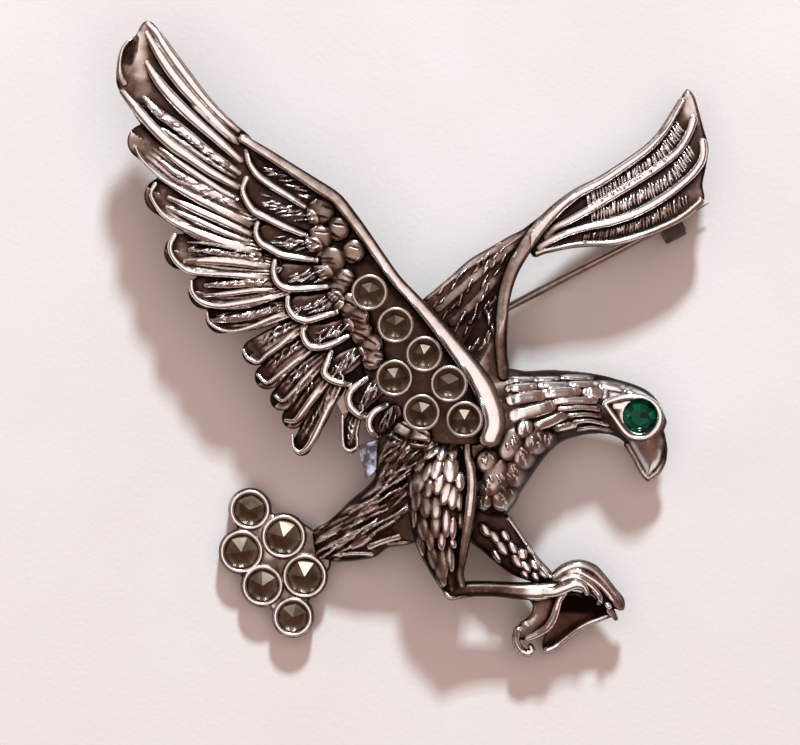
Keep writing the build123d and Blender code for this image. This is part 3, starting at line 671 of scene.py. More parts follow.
def near_wing():
    """Flight feathers on a low sheet, the top lobe, the coverts, the dull lumps and the front bar, polished
    bright and given a painted highlight.
    """
    r = Relief((-26.2, -11.0), (9.6, 28.4), lambda x, y: wing_top(x, y) - 0.45,
               lambda x, y: wing_top(x, y) - 1.3)
    r.sheet(WING_SHEET, lift=-0.45)
    for k, (points, widths, rim, rim_widths, polish_and_painted_light) in enumerate(FLIGHT):
        if k < SHORT_FLIGHT:
            r.feather(points, widths, tilt=0.2, polish_and_painted_light=0.15, tip=0.1, strands=4, gloss=0.3)
        else:
            r.feather(points, widths, tilt=0.2, polish_and_painted_light=-0.1, tip=0.1, strands=7, gloss=0.8)
        shine = along(polish_and_painted_light, np.linspace(0, 1, 6)) * [1, 1, 1, 1, 0.8, 0.4]
        r.band(rim, [1.25 * half for half in rim_widths], 0.36, lift=0.1, polish_and_painted_light=shine)
    for points, half, polish_and_painted_light in STRANDS:
        r.band(points, [half * share for share in (0.8, 1.5, 1.5, 1.2)], 0.36, lift=0.06,
               polish_and_painted_light=[polish_and_painted_light * share for share in (1, 1, 0.9, 0.35)])
    for k, (points, spread, count, polish_and_painted_light) in enumerate(BARBS):
        r.chips(points, spread, count, seed=k, length=0.7, width=0.13, height=0.13, slant=0.45, polish_and_painted_light=polish_and_painted_light)
    r.sheet(TOP_LOBE, lift=0.1, soft=0.35)
    r.shade([(-21.0, 21.0), (-18.5, 18.0)], 2.4, 0.15)
    for points, half, polish_and_painted_light in TOP_RIDGES:
        r.band(points, [half * share for share in (0.6, 1.15, 1.25, 1.25, 1.1, 1, 0.8)], 0.5, lift=0.06,
               polish_and_painted_light=[polish_and_painted_light * share for share in (0.4, 1, 1, 1, 0.9, 0.4)])
    r.chips([(-22.4, 19.9), (-19.5, 17.6), (-15.5, 14.6)], 0.35, 30, seed=50, length=0.8, slant=0.3,
            polish_and_painted_light=0.4)
    r.shade([(-22.7, 26.6), (-21.9, 25.9), (-21.4, 24.9)], 0.8, 0.5)
    r.shade([(-23.0, 25.4), (-22.9, 24.0), (-22.9, 22.6)], 0.6, 0.6)
    r.ridge([(-23.4, 25.5), (-23.8, 24.6), (-24.0, 23.6)], [0.4, 0.7, 0.5], -0.22, polish_and_painted_light=-0.3, sharp=True)
    edge = [(-23.3, 26.1), (-24.3, 25.1), (-24.75, 24.0), (-24.7, 22.6), (-24.3, 21.8)]
    r.ridge(edge, 0.3, 0.2, polish_and_painted_light=0.2)
    r.sheet(INNER_FIELD, lift=-0.1)
    r.shade([(-10.0, 12.0), (-4.0, 3.0), (2.5, -6.0)], 5.0, -0.35)
    for k, (points, widths) in enumerate(COVERT_PLATES):
        r.feather(points, widths, lift=0.05, soft=0.2, polish_and_painted_light=-0.15)
        first, middle, last = (np.array(p) for p in points)
        r.chips([tuple(first), tuple(middle), tuple(middle * 0.35 + last * 0.65)], 0.6, 24, seed=80 + k,
                length=0.8, height=0.16, slant=0.5, polish_and_painted_light=0.5, loose=0.7)
    for rim in COVERTS:
        r.band(rim, [0.24, 0.32, 0.34, 0.32, 0.24], 0.36, lift=0.24, polish_and_painted_light=[0.8, 1.2, 1.3, 1.2, 0.7])
    r.settle()
    for k, (x, y, radius) in enumerate(LUMPS):
        r.scale(x, y, radius * 1.2, radius * 1.35, 2.4, 0.45, rise=0.08, lift=0.12, polish_and_painted_light=-0.15)
        r.chips([(x - 0.5, y - 0.6), (x + 0.5, y + 0.6)], radius * 0.4, 2, seed=120 + k, length=1.2,
                width=0.14, height=-0.08, slant=-1.2, polish_and_painted_light=-0.3)
    level = [float(wing_top(x, y)) + 0.1 for x, y in BAR]
    r.rod(BAR, BAR_WIDTHS, [0.7 * half for half in BAR_WIDTHS], level)
    path = curve(BAR)
    w, x, y = r.place(path, 1.2)
    dist, t, _ = nearest(path, x, y)
    half = along(BAR_WIDTHS, t)
    # Painted highlight that grows towards the bar's lower end, and painted shade that darkens the bar towards
    # its edges.
    bar_highlight_and_shade = 0.3 * np.clip((t - 0.2) * 4, 0, 1) + 0.7 * np.clip((t - 0.62) * 4, 0, 1) - 0.1
    r.polish_and_painted_light[w] = np.where(dist < half, bar_highlight_and_shade - 0.8 * np.minimum(dist / half, 1) ** 3, r.polish_and_painted_light[w])
    return r.mesh("near_wing_cast")


# ---- Far wing -----------------------------------------------------------------------------------
FAR_INNER = [
    (0.6, 3.2), (1.9, 4.4), (3.2, 5.5), (4.9, 7), (6.6, 8), (8.3, 9), (9.4, 9.55), (10.4, 10.3),
    (12.1, 11.5), (11, 9.4), (9.6, 7.6), (8.7, 5.4), (8.2, 3.4), (8, 1.2), (7.95, -0.5), (8.2, -2.7),
    (6, -4.2), (3, -1.2), (0.6, 1.6),
]
FAR_OUTER = [
    (10.3, 7.2), (11.4, 7.5), (12.6, 7.75), (13.8, 8), (15.2, 8.1), (16.8, 8.1), (18.5, 8.4), (20.2, 9.05),
    (21.8, 9.75), (23, 10.4), (24.1, 11.2), (24.95, 12.1), (24.8, 13.4), (25.1, 14.9), (25.3, 16.6),
    (24.9, 18.2), (24.5, 19.7), (24.1, 21), (23.5, 21.6), (23, 20.9), (22.4, 19.8), (21.7, 18.5),
    (20.6, 17.4), (19.4, 16.3), (17.7, 15.15), (16, 14), (13.9, 12.9), (12.1, 11.6), (10.8, 10.3),
    (9.9, 8.9),
]
# Long ridges of the far wing: path, half widths, height, polish. The first runs up from the body.
FAR_RIDGES = [
    ([(7.75, -2.8), (7.6, -1), (7.6, 1.2), (7.8, 3.6), (8.4, 5.8), (9.5, 7.8), (10.8, 9.6), (12.3, 11.2),
      (14.1, 12.6), (16, 13.6), (18, 14.9), (20, 16.35), (21.3, 17.7), (22.3, 19.3), (23, 20.5)],
     [0.5, 0.52, 0.55, 0.6, 0.62, 0.58, 0.48, 0.45, 0.42, 0.38, 0.3], 0.5,
     [-0.5, -0.45, -0.35, -0.15, 0.3, 0.9, 1.1, 1.1, 1.1, 0.8]),
    ([(11.4, 8.9), (12.2, 9.7), (13.2, 10.2), (15, 11.2), (17, 12.4), (19, 13.6), (21, 14.9), (22.7, 16.3),
      (23.6, 17.7), (24, 18.9)],
     [0.3, 0.42, 0.42, 0.4, 0.36], 0.45, [0.2, 0.6, 1, 1.1, 1]),
    ([(10.8, 8), (12, 8.7), (13.4, 9.3), (15, 9.75), (17, 10.2), (19, 10.9), (21, 12), (22.7, 13.2),
      (24, 14.4),
      (24.8, 15.7), (24.8, 17)], [0.3, 0.36, 0.42, 0.42, 0.4, 0.34], 0.45, [0.4, 0.9, 1.1, 1.1, 1.3]),
    ([(10.6, 7.5), (12, 7.85), (13.6, 8.2), (15.2, 8.35), (17, 8.4), (19, 8.9), (21, 9.6), (23, 10.6),
      (24.6, 11.9)],
     [0.22, 0.28, 0.32, 0.32, 0.3], 0.4, [0.5, 0.9, 1, 1, 1.2]),
]
# Low folds of the root.
FAR_FOLDS = [
    [(1.2, 3.9), (4.6, 6.4), (8.2, 8.6), (10.6, 10.1)], [(2.2, 2.8), (4.8, 5), (8.2, 7.9), (10, 9.3)],
    [(3.4, 1.6), (5.4, 3.4), (7.4, 5.6)],
]
# Barbs of the root: path, spread, count, polish.
FAR_BARBS = [
    ([(1.6, 3.2), (3.4, 4.6), (5.6, 6.6), (8, 8.4)], 0.5, 14, -0.1),
    ([(2.6, 2.2), (4.4, 3.8), (6.2, 5.6), (8.4, 7.6)], 0.5, 14, -0.1),
    ([(3.8, 0.8), (5.2, 2.4), (6.8, 4.2)], 0.6, 16, 0),
    ([(5, -1), (6.2, 0.6), (7, 2.4)], 0.5, 12, 0.1),
]
# Hatched fields between the ridges of the outer blade: path, spread.
FAR_HATCH = [
    ([(14.8, 11.9), (17.5, 13.4), (19.5, 14.6), (21.3, 16), (22.9, 18.4)], 0.25),
    ([(15.2, 10.6), (18.3, 11.8), (20.5, 12.9), (22.3, 14.3), (23.9, 16.3)], 0.3),
    ([(14.5, 8.9), (17.2, 9.3), (20.2, 10.3), (23.4, 12.1)], 0.22),
]


def far_level(x, y):
    """Face of the far wing: its root rises from the body, and its outer half leans back."""
    inner = 5.3 + 0.026 * (0.454 * (x - 6.0) + 0.891 * (y + 1.0))
    outer = 5.1 - 0.0385 * (x - 22.0) - 0.075 * (y - 11.0)
    beyond = np.clip(0.5 + (0.872 * (x - 8.6) - 0.49 * (y - 5.2)) / 2.0, 0, 1)
    return inner + (outer - inner) * beyond


def far_wing():
    """The root and the outer blade as sheets, with their hatching, under the long ridges."""
    r = Relief((-0.8, -5.6), (26.6, 23.0), far_level, lambda x, y: far_level(x, y) - 1.0)
    r.sheet(FAR_INNER)
    r.sheet(FAR_OUTER, lift=0.15, soft=0.35)
    for points in FAR_FOLDS:
        r.ridge(points, 0.4, 0.15, polish_and_painted_light=0.05)
    for k, (points, spread, count, polish_and_painted_light) in enumerate(FAR_BARBS):
        r.chips(points, spread, count, seed=200 + k, length=0.85, width=0.15, height=0.2, slant=0.28,
                polish_and_painted_light=polish_and_painted_light)
    for k, (points, spread) in enumerate(FAR_HATCH):
        r.chips(points, spread, 40, seed=220 + k, length=1.0, width=0.13, height=0.2, slant=1.2,
                polish_and_painted_light=1.3 if k < 2 else 0.1, loose=0.3)
    r.shade([(2.0, 2.0), (5.0, 2.0), (7.0, 0.0)], 2.2, -0.3)
    r.shade([(2.4, 4.6), (6.0, 7.2), (9.4, 9.2)], 1.3, 0.25)
    r.settle()
    r.ground = np.maximum(r.ground, far_level(r.x, r.y) + 0.05)
    for points, widths, height, polish_and_painted_light in FAR_RIDGES:
        r.band(points, widths, height, lift=0.05, polish_and_painted_light=polish_and_painted_light)
    r.shade([(23.5, 21.3), (23.7, 20.0), (24.1, 19.0)], 0.6, 0.8)
    return r.mesh("far_wing_cast")


# ---- Body ---------------------------------------------------------------------------------------
HEAD_OUTLINE = [
    (4.6, -2.9), (8, -2.3), (9.75, -2.5), (12, -2.4), (14, -2.5), (16.1, -2.7), (17.5, -3.05), (19, -3.5),
    (20.1, -4), (20.95, -4.75), (21.5, -5.7), (21.95, -6.9), (21.7, -7.6), (21.9, -8.6), (21.85, -9.7),
    (21.6, -10.6), (21, -11.3), (20.1, -11.95), (19.6, -11.2), (18.95, -10.1), (18.4, -9.2), (17.95, -8.6),
    (17.1, -8.15), (16.1, -8), (14.6, -8.05), (13, -8.5), (12, -9.2), (11.2, -10.1), (10.3, -11.35),
    (9.45, -12.6), (8.6, -13.9), (7.9, -14.8), (6, -14.7), (4.4, -13.2), (3, -9.5), (3.4, -5.5),
]
BOOM_OUTLINE = [
    (4, -6), (0, -6.6), (-2.6, -7.6), (-3, -9), (-3.1, -10.4), (-3.2, -11.6), (-4.1, -12.6), (-5.2, -13.5),
    (-6.2, -14.5), (-7.2, -15.4), (-8.5, -16.2), (-8.6, -17.4), (-8.3, -18.6), (-7.2, -18.85), (-6, -18.9),
    (-4.5, -18.75), (-3.1, -18.45), (-2, -17.65), (-0.2, -17.35), (1.6, -16.4), (4.6, -13.6), (6.4, -9.6),
]
# Ridges along the edge of the boom: path, half width, height, polish.
BOOM_RIDGES = [
    ([(-3.6, -17.5), (-2.6, -17.1), (-1.2, -16.7)], 0.26, 0.25, 0.5),
    ([(-2, -17.3), (-0.3, -17.2)], 0.16, 0.2, 0.5),
    ([(-6.6, -18.3), (-4.8, -18.1), (-3.4, -18.2)], 0.16, 0.2, 0.6),
    ([(-7.9, -18.6), (-5.4, -18.75), (-3.2, -18.4)], 0.16, 0.15, 0.3),
    ([(-5, -13.1), (-4.5, -12.5)], 0.2, 0.2, 0.6),
]
# Bright tile-like feathers of the neck: path, half width, polish.
NECK_TILES = [
    ([(8.4, -3.25), (10.2, -3.2)], 0.24, 0.8), ([(10.6, -3.2), (12.4, -3.15)], 0.2, 0.5),
    ([(12.9, -3), (15.3, -3.1)], 0.2, 0.5),
    ([(16, -3.6), (18.2, -4)], 0.35, 0.7), ([(18.2, -4), (20.2, -4.9)], 0.3, 0.6),
    ([(8.2, -4), (10.3, -3.8)], 0.3, 1), ([(11, -3.7), (13.2, -3.68)], 0.24, 1),
    ([(13.5, -3.6), (15.8, -3.62)], 0.26, 1),
    ([(11.4, -4.42), (14, -4.22)], 0.38, 1.3), ([(15, -4.3), (16.3, -4.45)], 0.42, 1.2),
    ([(8.4, -5), (10, -4.65), (11, -4.6)], 0.42, 1.3), ([(12.3, -5.1), (14, -5), (15.6, -5.05)], 0.26, 1),
    ([(8.7, -6.3), (10.3, -5.95), (11.8, -5.5)], 0.46, 1.3),
    ([(12.6, -5.75), (14.4, -5.6), (15.9, -5.75)], 0.2, 0.7),
    ([(10.4, -7.3), (11.5, -6.9), (12.8, -6.35)], 0.36, 0.8),
    ([(13.3, -6.3), (14.8, -6.2), (16, -6.4)], 0.17, 0.6),
    ([(12.3, -7.4), (13.8, -7.1)], 0.26, 0.8), ([(13.9, -6.85), (15.2, -6.75), (16.6, -7.1)], 0.16, 0.5),
    ([(14.2, -7.5), (15.6, -7.35), (17, -7.7)], 0.16, 0.4),
]
# Rims of the beak: path, half widths, height, levels, polish.
BEAK_RIMS = [
    ([(18.35, -8.8), (19, -9.8), (19.52, -10.8), (19.9, -11.4), (20.25, -11.75)], 0.25, 0.45,
     [3.5, 3.25, 2.95, 2.7, 2.55], [0.3, 0.8, 1, 1, 0.7]),
    ([(21.45, -7.9), (21.5, -9.2), (21.35, -10.3), (20.95, -11.15), (20.3, -11.7)],
     [0.2, 0.36, 0.42, 0.36, 0.2], 0.5, [3.5, 3.3, 3, 2.75, 2.55], [0.3, 0.5, 0.6, 0.9, 0.8]),
]
# Rounded feathers of the chest: centre, radius, stretch, heading.
CHEST = [
    (8.5, -8.7, 0.75, 1.6, 0.75), (9.6, -9.6, 0.7, 1.4, 0.9), (6.4, -10.1, 0.65, 1.3, 0.6),
    (7.2, -11.5, 0.85, 1.4, 0.8), (8.7, -11.2, 0.75, 1.3, 0.9), (7.9, -13, 0.85, 1.3, 0.9),
    (6.1, -13.6, 0.5, 1.3, 0.4), (10.6, -8.5, 0.7, 1.2, 0.6), (11.6, -8.3, 0.5, 1.2, 0.4),
    (6.4, -12.3, 0.6, 1.2, 0.6), (9.6, -7.4, 0.5, 1.3, 0.6),
]


def boom_run(x, y):
    """Distance from the shoulders down the axis of the tail's boom."""
    return 0.714 * (5.8 - x) + 0.7 * (-3.4 - y)


def body_back(x, y):
    """Back of the body: flat, but lower under the boom and the beak."""
    boom = 2.4 * np.clip((boom_run(x, y) - 8.7) / 11.2, 0, 1)
    beak = 0.35 * np.clip(-8.4 - y, 0, 4) * np.clip(x - 17.5, 0, 1)
    return 3.4 - boom - beak


def boom_level(x, y):
    """Edge of the boom, which sinks towards the tail."""
    return np.interp(boom_run(x, y), [0.0, 4.3, 8.7, 13.1, 16.6, 19.9], [5.3, 5.8, 5.4, 4.0, 2.8, 1.6])


def head_level(x, y):
    """Edge of the chest and neck, which sinks towards the head."""
    return body_back(x, y) + 1.5 - 2.0 * np.clip((x - 9.0) / 7.0, 0, 1)


def body():
    """The boom with its long feathers, the neck's tiles, the chest's lobes and the rimmed beak."""
    r = Relief((-10.0, -20.4), (23.4, -1.0), head_level, body_back)
    r.sheet(BOOM_OUTLINE, swell=1.6, reach=3.2, level=boom_level)
    r.sheet(HEAD_OUTLINE, swell=2.4, reach=3.2, soft=0.4, blend=0.5)
    r.settle()
    r.chips([(1.0, -11.6), (-2.6, -14.0), (-5.4, -15.9), (-8.0, -17.6)], 1.75, 80, seed=300, length=2.4,
            width=0.2, height=0.18, polish_and_painted_light=0.2)
    r.chips([(1.2, -7.6), (-0.6, -9.6), (-3.0, -12.0)], 1.5, 46, seed=302, length=1.7, width=0.17,
            height=0.15)
    for points, half, height, polish_and_painted_light in BOOM_RIDGES:
        r.ridge(points, half, height, polish_and_painted_light=polish_and_painted_light)
    r.chips([(-3.6, -8.6), (-0.8, -8.2)], 0.6, 12, seed=301, length=0.6, width=0.13, slant=0.6)
    for k, (points, half, bright) in enumerate(NECK_TILES):
        r.band(points, [half * 1.1, half * 1.25, half * 1.1], 0.24, lift=0.06 * (k % 3), polish_and_painted_light=bright)
    for k, (x, y, radius, stretch, angle) in enumerate(CHEST):
        r.scale(x, y, radius * 1.5, radius * stretch * 1.35, angle - 1.2, 0.42, lift=0.04 * (k % 4),
                polish_and_painted_light=0.15)
        heading = np.array([math.cos(angle), math.sin(angle)])
        mid = np.array([x, y])
        r.chips([tuple(mid - heading * radius * 0.8), tuple(mid + heading * radius * 0.8)], radius * 0.6, 4,
                seed=320 + k, length=0.6, slant=1.2, polish_and_painted_light=0.25)
    r.shade([(19.6, -8.8), (20.1, -9.8), (20.3, -11.0)], 1.3, 0.45)
    for rim in BEAK_RIMS:
        r.rod(*rim)
    r.shade([(18.7, -8.9), (19.4, -10.0), (20.1, -11.2)], 0.35, 0.9)
    r.shade([(21.0, -9.4), (20.8, -10.4), (20.3, -11.2)], 0.25, 0.7)
    r.shade([(12.0, -8.4), (10.6, -10.2), (8.6, -13.4)], 0.9, -0.5)
    # Painted shade on the body where the neck meets the near wing.
    r.shade([(7.4, -3.2), (7.6, -4.6)], 0.6, -0.7)
    return r.mesh("body_cast")


# ---- Legs ---------------------------------------------------------------------------------------
THIGH_OUTLINE = [
    (1.2, -8.3), (0.3, -10), (-0.4, -11.6), (-0.45, -13.2), (-0.3, -14.8), (0.05, -16.6), (0.5, -17.8),
    (1.2, -19.1), (1.9, -20.3), (2.6, -21.3), (3.2, -21.95), (4, -21.4), (4.3, -20), (4.5, -18.2),
    (4.9, -16), (5.3, -13.8), (5.5, -12), (5.3, -10.6), (4.9, -9.2), (4.4, -8.2), (2.8, -7.9),
]
# Feathers of the thigh: middle, half width, half length, heading (straight down is 0), brightness.
THIGH_FEATHERS = [
    (1.6, -8.6, 0.28, 0.65, -0.9, 0.9), (1.7, -9.4, 0.28, 0.65, -0.9, 0.8),
    (2.6, -9.4, 0.3, 0.6, -0.5, 0.6), (3.5, -9.2, 0.3, 0.6, -0.1, 0.5),
    (2.1, -10.7, 0.38, 0.75, -0.35, 1.1), (3.3, -10.7, 0.48, 0.9, -0.1, 1.4),
    (4.1, -11.8, 0.33, 0.65, 0, 1.3), (0.6, -11.7, 0.4, 0.9, -0.15, 0.2), (1.3, -11, 0.3, 0.7, -0.4, 0.3),
    (1.4, -12.4, 0.34, 0.7, -0.2, 0.2), (2.3, -12, 0.35, 0.75, -0.25, 1),
    (2.9, -12.8, 0.35, 0.8, -0.3, 1.2), (3.5, -13.2, 0.36, 0.75, -0.1, 1.4),
    (4.05, -13.5, 0.24, 0.65, 0, 0.9), (0.35, -13.2, 0.36, 0.85, -0.05, 0.1),
    (1.1, -13.7, 0.4, 0.9, 0.1, 0.2), (2, -14.1, 0.36, 0.8, 0, 0.4), (2, -15.3, 0.34, 0.95, 0, 0.5),
    (2.9, -15.4, 0.3, 0.85, 0, 0.8), (3.5, -15.8, 0.26, 0.7, -0.05, 1), (0.9, -15.6, 0.36, 0.95, 0.15, 0.1),
    (1.5, -16.6, 0.3, 0.85, 0.1, 0.2), (2.5, -16.8, 0.27, 0.65, 0, 0.6), (3.5, -17.1, 0.22, 0.35, 0.4, 1),
    (1.7, -18.1, 0.32, 0.9, 0.2, 0.1), (2.5, -18.8, 0.42, 1.2, 0, 0.2), (3.3, -18.4, 0.26, 0.8, 0.1, 0.1),
    (2.5, -20.2, 0.3, 0.5, 0.3, 0.2), (0, -12.3, 0.25, 0.7, -0.1, 0.2), (0.1, -14.8, 0.25, 0.7, 0, 0.2),
    (0.75, -17.2, 0.25, 0.7, 0.2, 0.2), (4.2, -15.2, 0.22, 0.6, 0, 0.6), (0.7, -10.3, 0.3, 0.6, -0.5, 0.3),
]


# Round bars of the near leg: path, half widths, heights, levels, brightness. The shank's brightness is
# painted shade along most of its length and a painted highlight towards its foot end.
SHANK = ([(3.4, -21.3), (5.0, -21.1), (7.0, -21.1), (9.0, -21.25), (11.0, -21.3), (12.4, -21.1)],
         [0.75, 0.68, 0.66, 0.72, 0.8, 0.75], [0.75, 0.7, 0.68, 0.72, 0.8, 0.7],
         [5.2, 5.1, 4.9, 4.7, 4.6, 4.5],
         [-0.5, -0.55, -0.6, -0.6, -0.6, -0.5, -0.2, 0.7, 0.5, 0])
THIGH_BAR = ([(4.7, -8.7), (4.75, -9.8), (4.98, -11.0), (5.05, -12.2), (4.9, -14.0), (4.62, -16.0),
              (4.3, -18), (4, -19.7), (4.2, -20.7)], [0.42, 0.5, 0.52, 0.5, 0.46, 0.42], 0.65,
             [6.9, 7.4, 7.8, 7.9, 7.7, 7.2, 6.6, 5.9, 5.4], 0.2)
NEAR_TOES = [
    ([(13.1, -21.3), (12.6, -21.95), (12.3, -22.85), (12.05, -23.65), (11.55, -24.4), (10.75, -24.95),
      (9.9, -25.35)], [0.26, 0.32, 0.35, 0.36, 0.35, 0.28], 0.4, [4.9, 4.7, 4.5, 4.2, 3.9, 3.5, 3.2], 1.4),
    ([(12.5, -21.85), (13.2, -21.5), (14, -21.5), (14.6, -21.8)], [0.13, 0.15, 0.15, 0.12], 0.2,
     [4.7, 4.7, 4.6, 4.5], 0.9),
    ([(11.3, -21.3), (12.2, -21.3), (13.1, -20.95), (13.95, -20.65), (14.6, -20.85), (14.9, -21.4)],
     [0.55, 0.48, 0.46, 0.46, 0.42, 0.3], 0.5, [4.9, 5, 5.15, 5.2, 5.1, 4.9], [0.2, 0.5, 1.3, 1.4, 1.2, 0.4]),
    ([(9.7, -24.1), (9.95, -24.25)], 0.28, 0.25, 3.6, 0.1),
    ([(9.1, -24.6), (8.9, -25.2), (8.95, -25.85), (9.35, -26.45), (9.95, -26.7), (10.3, -26.45),
      (10.15, -26.1)], [0.32, 0.34, 0.34, 0.34, 0.31, 0.26], 0.4, [3.3, 3, 2.8, 2.6, 2.5, 2.5],
     [0.5, 1, 1.3, 1.4, 1.2]),
]


def thigh_level(x, y):
    """Edge of the thigh, which stands in front of the body and dips to the ankle."""
    return np.interp(-y, [8.0, 12.0, 15.5, 19.0, 21.5, 26.0], [6.1, 6.9, 6.5, 5.6, 5.0, 3.4]) + 0.0 * x


HIND_TOE_OUTLINE = [
    (9.9, -21.8), (10.3, -22.5), (10.25, -23.1), (9.85, -23.6), (9.3, -24), (8.95, -24.6), (8.85, -25.3),
    (9.6, -25.6), (10.8, -25.1), (11.7, -24.5), (12.2, -23.5), (12.5, -22.3), (12.8, -21.6), (11.8, -21.3),
    (10.6, -21.4),
]


def hind_toe_level(x, y):
    """Edge of the web behind the hind toe, which dips to its claw."""
    return 4.4 + 0.42 * np.minimum(y + 21.5, 0) + 0.0 * x


def near_leg():
    """Shank, feathered thigh with its smooth bar, and the foot with its hind toe and claws."""
    r = Relief((-1.8, -28.0), (17.0, -7.0), thigh_level, lambda x, y: thigh_level(x, y) - 1.5)
    r.rod(*SHANK)
    r.sheet(THIGH_OUTLINE, lift=-0.2, swell=1.6, reach=2.4, blend=0.4)
    r.settle()
    for x, y, half, length, heading, bright in THIGH_FEATHERS:
        r.scale(x, y, half * 1.5, length * 1.45, heading, 0.34, rise=0.16, polish_and_painted_light=bright * 0.75)
    r.shade([(0.5, -11.0), (0.8, -14.0), (1.6, -17.5), (2.4, -20.5)], 1.1, -0.3)
    r.rod(*THIGH_BAR)
    heel = [(0.1, -16.6), (0.9, -18.4), (1.8, -20.0), (2.7, -21.4), (3.5, -21.9), (4.8, -21.85)]
    r.ridge(heel, 0.22, 0.25, polish_and_painted_light=0.5)
    r.sheet(HIND_TOE_OUTLINE, swell=0.5, reach=0.9, level=hind_toe_level)
    r.shade([(11.4, -21.6), (10.9, -23.2), (9.6, -24.8)], 1.2, 0.85)
    for toe in NEAR_TOES:
        r.rod(*toe)
    return r.mesh("near_leg_cast")


FAR_THIGH_OUTLINE = [
    (5.6, -13.6), (8, -14.6), (9, -15.8), (9.9, -17.1), (10.8, -18.4), (11.9, -19.6), (12.3, -20.4),
    (11, -20.7), (9.8, -20.4), (8.5, -19.9), (7, -18.8), (6, -17.9), (4.9, -17), (4.4, -15.4),
]
# Feathers of the far thigh: middle, half width, half length.
FAR_THIGH_FEATHERS = [
    (6.2, -16, 0.3, 0.6), (7, -16.6, 0.3, 0.6), (7.9, -16.5, 0.26, 0.5), (7.6, -17.5, 0.3, 0.7),
    (8.6, -17.6, 0.28, 0.5), (9.4, -18.1, 0.36, 0.42), (10, -17.75, 0.25, 0.4), (8.9, -18.7, 0.28, 0.6),
    (9.7, -19.2, 0.26, 0.5), (10.45, -19, 0.28, 0.45), (11.2, -19.7, 0.28, 0.5), (9.6, -19.9, 0.22, 0.4),
    (10.5, -20.1, 0.24, 0.4), (7.2, -18.3, 0.2, 0.5),
]
PLANK_OUTLINE = [
    (12.2, -21.4), (14.8, -21.5), (16.4, -22.4), (17.4, -23.2), (16.2, -23.9), (15, -24.35), (14, -24.95),
    (13, -25.75), (12.3, -26.4), (11.7, -26.75), (11.2, -26.3), (11.35, -25.2), (12, -24), (12.3, -22.8),
]
TOES_OUTLINE = [
    (11.6, -20.6), (11.9, -19.8), (12.8, -19.1), (13.7, -18.7), (14.6, -18.65), (15.7, -19.05),
    (16.35, -19.7), (16.9, -20.4), (17.5, -21.15), (18.05, -21.8), (18.25, -22.4), (18.1, -23),
    (17.5, -22.9), (16.7, -22.7), (16.2, -22.4), (15.4, -21.8), (14.6, -21.3), (13.4, -21.2), (12.3, -21.4),
    (11.5, -21.3),
]
# Toes from the farthest: path, half widths, polish.
TOES = [
    ([(12, -20.2), (12.9, -19.45), (13.8, -19.1), (14.7, -19.1), (15.6, -19.55), (16.3, -20.25),
      (16.95, -21), (17.5, -21.75),
      (17.95, -22.6)], [0.35, 0.42, 0.44, 0.4, 0.34, 0.24], [0.4, 1, 0.3, 0.2, 0.1, 0]),
    ([(12.8, -20.2), (13.4, -19.75), (14.1, -19.6), (14.9, -19.95), (15.9, -20.6), (16.7, -21.4),
      (17.3, -22.2), (17.8, -22.8)],
     [0.3, 0.34, 0.32, 0.3, 0.24], [0.2, 0.9, 1, 0.4, 0.3, 0.3]),
    ([(12.2, -20.8), (13, -20.25), (13.9, -20.1), (14.9, -20.55), (15.7, -21.25), (16.1, -21.85),
      (16, -22.35)],
     [0.34, 0.34, 0.32, 0.3, 0.24], [0.2, 0.5, 1, 1, 1.1, 1.2]),
]


def toes_level(x, y):
    """Edge of the far foot, which dips to the tips of its toes."""
    return 4.4 - 0.22 * np.clip(x - 14.4, 0, 4) + 0.0 * y


def far_leg_back(x, y):
    """Back of the far leg, which comes down to the surface at its lowest claw."""
    return 3.1 - 2.75 * np.clip((-21.2 - y) / 5.3, 0, 1)


